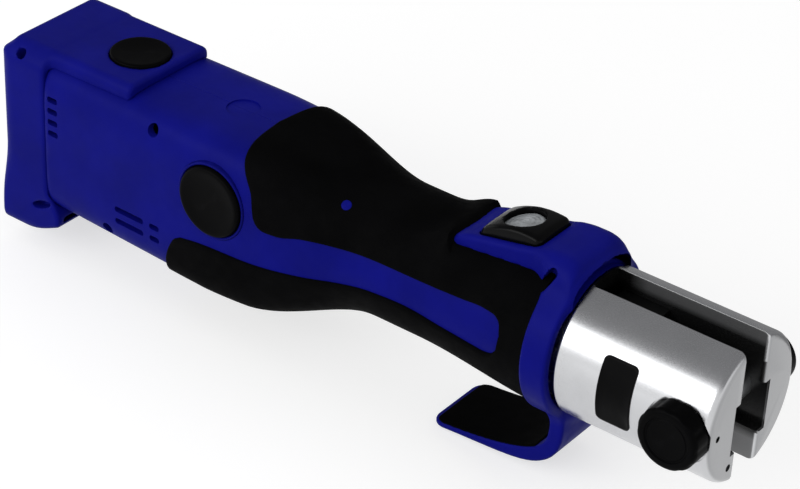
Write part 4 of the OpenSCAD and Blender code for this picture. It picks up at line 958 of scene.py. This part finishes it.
class PRESSTOOL_OT_window(PressToolOperator, bpy.types.Operator):
    """Build the light window and its domed frame"""
    bl_idname = "press_tool.window"
    bl_label = "Window"

    def make(self, size):
        def crown(x, y):
            return smooth_curve(DOME_TOP, x) - 0.005 * y * y

        def dome(x, y, z):
            plan = rect_field(x, y, (267.25, -12.25), (298.75, 12.25), 3.0)
            whole = smooth_max(plan, (z - crown(x, y)) * 0.97, 3.0)
            whole = np.maximum(whole, section(x)[0] + 1.7 - np.hypot(y, z))
            well = np.maximum(np.hypot(x - LENS, y) - 9.3, crown(x, y) - 4.4 - z)
            return smooth_max(whole, -well, 0.4)

        piece = net_piece("window_dome", dome, (265.5, -13.5, 26), (300.5, 13.5, 46.0), 0.6)
        finish_piece(piece, "gloss", "housing", "black_plastic", "window_bezel")

        def glass(x, y, z):
            away = np.hypot(x - LENS, y)
            face = crown(x, y) - 2.8
            rings = 0.12 * np.cos(away * 3.2)
            return smooth_max(smooth_max(away - 9.1, z - face - rings, 0.5), face - 1.5 - z, 0.3)

        piece = net_piece("window_glass", glass, (271, -11, 35), (293, 11, 46.5), 0.5)
        finish_piece(piece, "glass", "housing", "clear_lens", "window_lens")


def lug_ring(x, radius, chord, side):
    """Outline of one fork lug: an arc and a chord with rounded corners."""
    fillet = 0.7
    yc = chord + fillet
    zc = math.sqrt((radius - fillet) ** 2 - yc ** 2)
    turn = math.degrees(math.atan2(zc, yc))
    points = arc((0, 0), radius, -turn, turn, 64)
    points += arc((yc, zc), fillet, turn, 180, 7)[1:]
    points += [(chord, z) for z in np.linspace(zc, -zc, 26)[1:-1]]
    points += arc((yc, -zc), fillet, 180, 360 - turn, 7)[:-1]
    return [(x, side * y, z) for y, z in points]


class PRESSTOOL_OT_fork(PressToolOperator, bpy.types.Operator):
    """Build the swivelling fork, its plate, the jaw pin's knob and keeper"""
    bl_idname = "press_tool.fork"
    bl_label = "Fork"

    def make(self, size):
        radius, chord, edge = size["fork_radius"], size["slot_width"] / 2, size["fork_edge"]
        root, tip = 325.5, 3.6
        profile = ([(25.05, 304), (29.0, 304), (29.5, 304.5), (29.5, 324), (radius - edge, 324)]
                   + arc((radius - edge, 324 + edge), edge, -90, 0, 6)[1:]
                   + [(radius, root), (8.85, root), (8.85, 319.5), (25.05, 319.5)])
        drum = lathe("fork_drum", profile, (0, 0, 0), (1, 0, 0), 160, closed=True)
        lugs = []
        for side in (-1, 1):
            rings = [lug_ring(x, radius, chord, side) for x in np.linspace(root - 0.4, TIP - tip, 26)]
            for a in np.radians([15, 30, 45, 60, 75, 90]):
                inset = tip * (1 - math.cos(a))
                x = TIP - tip + tip * math.sin(a)
                rings.append(lug_ring(x, radius - inset, chord + 0.3 * inset, side))
            lugs.append(loft("fork_lug", rings))
        cut(drum, lugs, "UNION")
        cutters = [rod("pin_bore", 7.06, (PIN, -60, 0), (PIN, 60, 0), 64),
                   rod("knob_spot", 15.1, (PIN, -60, 0), (PIN, -31.5, 0), 96),
                   rod("keeper_spot", 13.2, (PIN, 31.5, 0), (PIN, 60, 0), 96),
                   block("lug_step", (PIN, 8, -17), (TIP + 2, 13.4, 8)),
                   block("lug_step", (PIN, -13.4, -17), (TIP + 2, -8, 8)),
                   rod("tip_hole", 1.5, (392, -25.8, -1), (402, -25.8, -1), 24),
                   rod("tip_hole", 1.7, (392, -13.8, -22.4), (402, -13.8, -22.4), 24)]
        cut(drum, cutters)
        drum.name = "jaw_fork"
        finish_piece(drum, "fork", "head", "satin_fork", "fork")
        self.plate(radius)
        knob_r = size["knob_radius"]
        profile = ([(0.01, 31.65), (knob_r - 0.8, 31.65), (knob_r, 32.4), (knob_r, 39.4)]
                   + arc((knob_r - 2.4, 39.4), 2.4, 0, 90, 8)[1:]
                   + [(10.6, 41.75), (10.2, 41.2), (9.6, 41.15), (9.2, 41.45), (4.0, 41.2), (0.01, 41.15)])
        knob = lathe("pin_cap", profile, (PIN, 0, 0), (0, -1, 0))
        self.flutes(knob, knob_r)
        finish_piece(knob, "plastic", "jaw_pin", "black_plastic", "pin_knob")
        profile = ([(7.1, 31.5), (12.9, 31.5), (12.9, 38.8)] + arc((10.9, 38.8), 2.0, 0, 90, 7)[1:]
                   + [(8.0, 41.0), (7.6, 40.6), (0.01, 40.5), (0.01, 36.4), (7.1, 36.4)])
        keeper = lathe("pin_cover", profile, (PIN, 0, 0), (0, 1, 0), closed=True)
        finish_piece(keeper, "plastic", "head", "black_plastic", "pin_keeper")

    def flutes(self, knob, radius):
        """Shallow finger hollows round the knob's rim."""
        for v in knob.data.vertices:
            x, y, z = v.co.x / MM - PIN, v.co.y / MM, v.co.z / MM
            r = math.hypot(x, z)
            if r > radius - 3.0 and -41.0 < y < -32.2:
                dip = 0.35 * (0.5 + 0.5 * math.cos(12 * math.atan2(z, x))) ** 3
                share = (r - dip) / r
                v.co.x = (PIN + x * share) * MM
                v.co.z = z * share * MM

    def plate(self, radius):
        """Bare curved plate with round corners and a fine raised rim."""
        half_u, half_v, mid_x, mid_z = 8.25, 15.9, 354.25, 3.5
        lifts = [(1.0, 0.05), (1.0, 0.45), (0.985, 0.6), (0.93, 0.62), (0.9, 0.5), (0.5, 0.5), (0.12, 0.5)]
        rings = []
        for share, lift in [(0.12, 0.05)] + lifts:
            inward = 1 - share
            outline = rounded_rect(half_u - 8.0 * inward, half_v - 15.6 * inward, max(0.15, 2.6 * share), 8)
            u, v = refined(outline).T
            turn, r = (mid_z + v) / radius, radius + lift
            rings.append(np.stack([mid_x + u, -r * np.cos(turn), r * np.sin(turn)], 1))
        piece = loft("fork_plate", rings)
        finish_piece(piece, "plate", "head", "label_plate", "fork_label")


class PRESSTOOL_OT_controls(PressToolOperator, bpy.types.Operator):
    """Build the reset button, the battery release and the trigger"""
    bl_idname = "press_tool.controls"
    bl_label = "Controls"

    def make(self, size):
        profile = ([(17.85, 31.0), (17.85, 35.0)] + arc((18.5, 35.0), 0.65, 180, 0, 7)[1:]
                   + [(19.2, 35.0), (19.2, 29.0), (2.65, 29.0), (2.65, 31.0)])
        cup = lathe("reset_ring", profile, RESET, (0, -1, 0), 112, closed=True)
        finish_piece(cup, "recess", "housing", "blue_housing", "reset_cup")
        profile = ([(0.01, 28.1), (2.5, 28.1), (2.5, 34.5), (17.4, 34.5), (17.5, 34.7), (17.5, 36.0)]
                   + arc((15.9, 36.0), 1.5, 0, 90, 8)[1:]
                   + [(14.6, 37.4), (12.5, 37.0), (8.0, 36.7), (0.01, 36.6)])
        cap = lathe("reset_cap", profile, RESET, (0, -1, 0), 112)
        finish_piece(cap, "plastic", "reset_button", "black_plastic", "reset_button")
        profile = ([(0.01, 27.5), (3.5, 27.5), (3.5, 39.5), (12.5, 39.5), (12.5, 35.5), (14.4, 35.5),
                    (14.4, 42.3)] + arc((13.4, 42.3), 1.0, 0, 90, 6)[1:]
                   + [(12.0, 43.2), (8.0, 42.8), (0.01, 42.6)])
        release = lathe("release_cap", profile, (RELEASE, 0, 0), (0, 0, 1))
        finish_piece(release, "plastic", "release_button", "black_plastic", "release_button")
        outline = [(301.2, -29.8), (300.2, -35.4), (297.0, -37.6), (286.0, -39.9), (272.0, -37.5),
                   (268.5, -36.4), (264.6, -31.5), (264.1, -28.6), (287.8, -28.6), (293.9, -26.6),
                   (301.2, -26.6)]
        rocker = self.rocker(outline, 7.9)
        finish_piece(rocker, "plastic", "trigger", "black_plastic", "trigger")

    def rocker(self, outline, half):
        """Extruded outline with rolled side edges."""
        mesh = bpy.data.meshes.new("trigger_rocker")
        work = bmesh.new()
        base = [work.verts.new((x * MM, -half * MM, z * MM)) for x, z in outline]
        face = work.faces.new(base)
        grown = bmesh.ops.extrude_face_region(work, geom=[face])["geom"]
        moved = [g for g in grown if isinstance(g, bmesh.types.BMVert)]
        bmesh.ops.translate(work, vec=(0, 2 * half * MM, 0), verts=moved)
        bmesh.ops.recalc_face_normals(work, faces=work.faces)
        bmesh.ops.bevel(work, geom=list(work.edges), offset=0.9 * MM, segments=3, profile=0.5, affect="EDGES",
                        clamp_overlap=True)
        work.to_mesh(mesh)
        work.free()
        piece = bpy.data.objects.new("trigger_rocker", mesh)
        bpy.context.scene.collection.objects.link(piece)
        cut(piece, [rod("pin_hole", 1.58, (298, -12, -28.5), (298, 12, -28.5), 24)])
        return piece


def coil(name, centre, axis, radius, wire, low, high, turns):
    """Round wire wound along one axis between two heights."""
    rings = []
    for i in range(20 * turns + 1):
        turn = math.tau * i / 20
        mid = low + wire + (high - low - 2 * wire) * i / (20 * turns)
        ring = []
        for round_wire in np.linspace(0, math.tau, 10, endpoint=False):
            out = radius + wire * math.cos(round_wire)
            point = [out * math.cos(turn), out * math.sin(turn)]
            point.insert(axis, mid + wire * math.sin(round_wire))
            ring.append([p + c for p, c in zip(point, centre)])
        rings.append(ring)
    return loft(name, rings, sharp=COIL_SHARP)


# Springs: centre, axis, radius, wire, moving and fixed end, turns, joint and the share of length kept
SPRINGS = {
    "return": ((0, 0, 0), 0, 12.1, 1.1, (225.4, 307.7), 12, "ram_slide", 0.70),
    "trigger": ((268, 0, 0), 2, 2.2, 0.35, (-28.25, -20.2), 4, "trigger_pull", 0.5),
    "reset": (RESET, 1, 7.0, 0.5, (-34.2, -31.22), 2, "reset_push", 0.16),
    "release": ((RELEASE, 0, 0), 2, 6.0, 0.5, (39.2, 30.72), 4, "release_push", 0.69),
}


class PRESSTOOL_OT_springs(PressToolOperator, bpy.types.Operator):
    """Wind the springs"""
    bl_idname = "press_tool.springs"
    bl_label = "Springs"

    def make(self, size):
        for name, row in SPRINGS.items():
            self.spring(name, *row)

    def spring(self, name, centre, axis, radius, wire, ends, turns, joint, keep):
        """One spring, which rides on the housing."""
        piece = coil(name + "_coil", centre, axis, radius, wire, min(ends), max(ends), turns)
        finish_piece(piece, "steel", "housing", "steel_parts", name + "_spring")
        anchor = list(centre)
        anchor[axis] = ends[1]
        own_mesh(piece)


NODE_FINISH = {
    "steel": ["shoe_screws", "sun_gear", "planet_gear_1", "planet_gear_2", "planet_gear_3", "pump_piston",
              "cylinder_bolts", "swivel_ring", "jaw_pin", "trigger_pin", "battery_latch",
              "planet_carrier", "carrier_bearing", "gear_plate"],
    "dark_steel": ["motor_can", "motor_magnets", "ring_gear", "pressure_cylinder", "ram"],
    "oxide": ["shell_screws", "roller_carriage", "roller_pins", "upper_roller", "lower_roller"],
    "alloy": ["pump_block"],
    "bronze": ["motor_bushes", "relief_valve", "rod_gland", "battery_terminals"],
    "copper": ["rotor"],
    "board": ["light_board", "control_board"],
    "rubber": ["oil_reservoir", "piston_seal"],
    "plastic": ["motor_end_cap", "front_bulkhead", "start_switch", "release_guide"],
}


class PRESSTOOL_OT_works(PressToolOperator, bpy.types.Operator):
    """Finish the inner works that keep their own shapes"""
    bl_idname = "press_tool.works"
    bl_label = "Inner works"

    def make(self, size):
        for finish, names in NODE_FINISH.items():
            for name in names:
                paint(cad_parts[name], finish)


# Camera: turn, rise and roll in degrees, distance and aim in metres, lens and sensor in millimetres
CAMERA_TURN = 36.263
CAMERA_RISE = 32.836
CAMERA_ROLL = 2.75
CAMERA_AWAY = 1.1777
CAMERA_AIM = (0.21753, 0.0, 0.002327)
CAMERA_LENS = 119.46
SENSOR = 36.0

# Floor, canopy and standing card in metres, and their brightness to the rays that see them
FLOOR_REACH, FLOOR_GAP, FLOOR_GLOW = 4.0, 0.0004, 0.62
CANOPY_REACH, CANOPY_RADIUS, CANOPY_GREY = 3.0, 1.7, (0.27, 0.27, 0.275)
CARD_Y, CARD_LOW, CARD_HIGH = 0.17, (0.16, -0.068), (0.46, 0.3)
WORLD_LIGHT = 0.6

# Lamp: place, aim, size and power
KEY_LAMP = ((-0.12, -1.08, 0.56), (0.25, 0, 0), (1.3, 0.62), 6.5)


class PRESSTOOL_OT_stage(PressToolOperator, bpy.types.Operator):
    """Set up the floor, the lamp, the world and the camera"""
    bl_idname = "press_tool.stage"
    bl_label = "Stage"

    def camera(self):
        turn, rise, roll = (math.radians(v) for v in (CAMERA_TURN, CAMERA_RISE, CAMERA_ROLL))
        right = Vector((math.cos(turn), math.sin(turn), 0))
        up = Vector((-math.sin(turn) * math.sin(rise), math.cos(turn) * math.sin(rise), math.cos(rise)))
        back = Vector((math.sin(turn) * math.cos(rise), -math.cos(turn) * math.cos(rise), math.sin(rise)))
        side = right * math.cos(roll) + up * math.sin(roll)
        head = up * math.cos(roll) - right * math.sin(roll)
        data = bpy.data.cameras.new("photo_camera")
        data.lens = CAMERA_LENS
        data.sensor_width = SENSOR
        data.sensor_fit = "HORIZONTAL"
        data.clip_start = 0.01
        camera = bpy.data.objects.new("photo_camera", data)
        place = Vector(CAMERA_AIM) + back * CAMERA_AWAY
        camera.matrix_world = Matrix((*zip(side, head, back, place), (0, 0, 0, 1)))
        bpy.context.scene.collection.objects.link(camera)
        bpy.context.scene.camera = camera

    def lamp(self, name, place, aim, size, power):
        data = bpy.data.lights.new(name, "AREA")
        data.shape = "RECTANGLE"
        data.size, data.size_y = size
        data.energy = power
        lamp = bpy.data.objects.new(name, data)
        lamp.location = place
        lamp.rotation_euler = (Vector(aim) - Vector(place)).to_track_quat("-Z", "Y").to_euler()
        bpy.context.scene.collection.objects.link(lamp)

    def seen(self, tree):
        """One for camera, glossy and transmission rays."""
        path = tree.nodes.new("ShaderNodeLightPath")
        some = maths(tree, "MAXIMUM", path.outputs["Is Camera Ray"], path.outputs["Is Glossy Ray"])
        return maths(tree, "MAXIMUM", some, path.outputs["Is Transmission Ray"])

    def world(self):
        world = bpy.data.worlds.new("studio")
        world.use_nodes = True
        bpy.context.scene.world = world
        tree = world.node_tree
        light = spread(tree, self.seen(tree), 0, 1, WORLD_LIGHT, 1.0)
        feed(tree, tree.nodes["Background"], {"Color": (1, 1, 1), "Strength": light})

    def floor(self):
        low = min(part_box(name)[0][2] for name in ("nose_collar", "battery_shoe")) - FLOOR_GAP
        points = [(x * FLOOR_REACH, y * FLOOR_REACH, low) for x, y in ((-1, -1), (1, -1), (1, 1), (-1, 1))]
        floor = make_piece("floor", np.array(points) / MM, [(0, 1, 2, 3)])
        material, tree, shader = blank("floor_white")
        tone = spread(tree, noise(tree, object_place(tree), 3.0), 0.3, 0.7)
        feed(tree, shader, {"Base Color": mixed(tree, tone, *shades(colours().floor, 0.99, 1)),
                            "Roughness": 0.9, "Specular IOR Level": 0.1, "Emission Color": (1, 1, 1),
                            "Emission Strength": spread(tree, self.seen(tree), 0, 1, 0.0, FLOOR_GLOW)})
        floor.data.materials.append(material)

    def canopy(self):
        """Grey cards over and behind the tool, which only mirror images show."""
        turns = np.radians(np.linspace(-44, 92, 18))
        points = [(x, CANOPY_RADIUS * math.sin(a), CANOPY_RADIUS * math.cos(a))
                  for a in turns for x in (-CANOPY_REACH, CANOPY_REACH)]
        faces = [(2 * i, 2 * i + 1, 2 * i + 3, 2 * i + 2) for i in range(len(turns) - 1)]
        n = len(points)
        (x0, z0), (x1, z1) = CARD_LOW, CARD_HIGH
        points += [(x, CARD_Y, z) for x, z in ((x0, z0), (x1, z0), (x1, z1), (x0, z1))]
        faces.append((n, n + 1, n + 2, n + 3))
        card = make_piece("canopy", np.array(points) / MM, faces)
        material, tree, shader = blank("canopy_grey")
        feed(tree, shader, {"Base Color": (0, 0, 0), "Specular IOR Level": 0.0,
                            "Emission Color": CANOPY_GREY, "Emission Strength": 1.0})
        card.data.materials.append(material)
        card.visible_camera = card.visible_diffuse = card.visible_transmission = False
        card.visible_volume_scatter = card.visible_shadow = False

    def make(self, size):
        bpy.context.scene.view_settings.view_transform = "Standard"
        self.camera()
        self.world()
        self.floor()
        self.canopy()
        self.lamp("key", *KEY_LAMP)


STEPS = (PRESSTOOL_OT_finishes, PRESSTOOL_OT_stage, PRESSTOOL_OT_housing, PRESSTOOL_OT_grips,
         PRESSTOOL_OT_shoe, PRESSTOOL_OT_nose, PRESSTOOL_OT_window, PRESSTOOL_OT_fork, PRESSTOOL_OT_controls,
         PRESSTOOL_OT_springs, PRESSTOOL_OT_works)


class PRESSTOOL_PT_panel(bpy.types.Panel):
    """Lists the steps that build the tool"""
    bl_idname = "PRESSTOOL_PT_panel"
    bl_label = "Press Tool"
    bl_space_type = "VIEW_3D"
    bl_region_type = "UI"
    bl_category = "Press Tool"

    def draw(self, context):
        for step in STEPS:
            self.layout.operator(step.bl_idname)
        for group in (context.scene.press_tool_sizes, context.scene.press_tool_colours):
            for key in type(group).__annotations__:
                self.layout.prop(group, key)


CLASSES = (PressToolSizes, PressToolColours, *STEPS, PRESSTOOL_PT_panel)


def register():
    for each in CLASSES:
        bpy.utils.register_class(each)
    bpy.types.Scene.press_tool_sizes = bpy.props.PointerProperty(type=PressToolSizes)
    bpy.types.Scene.press_tool_colours = bpy.props.PointerProperty(type=PressToolColours)


def unregister():
    del bpy.types.Scene.press_tool_sizes
    del bpy.types.Scene.press_tool_colours
    for each in reversed(CLASSES):
        bpy.utils.unregister_class(each)


def main():
    register()
    for step in STEPS:
        family, name = step.bl_idname.split(".")
        getattr(getattr(bpy.ops, family), name)()


if __name__ == "__main__":
    main()
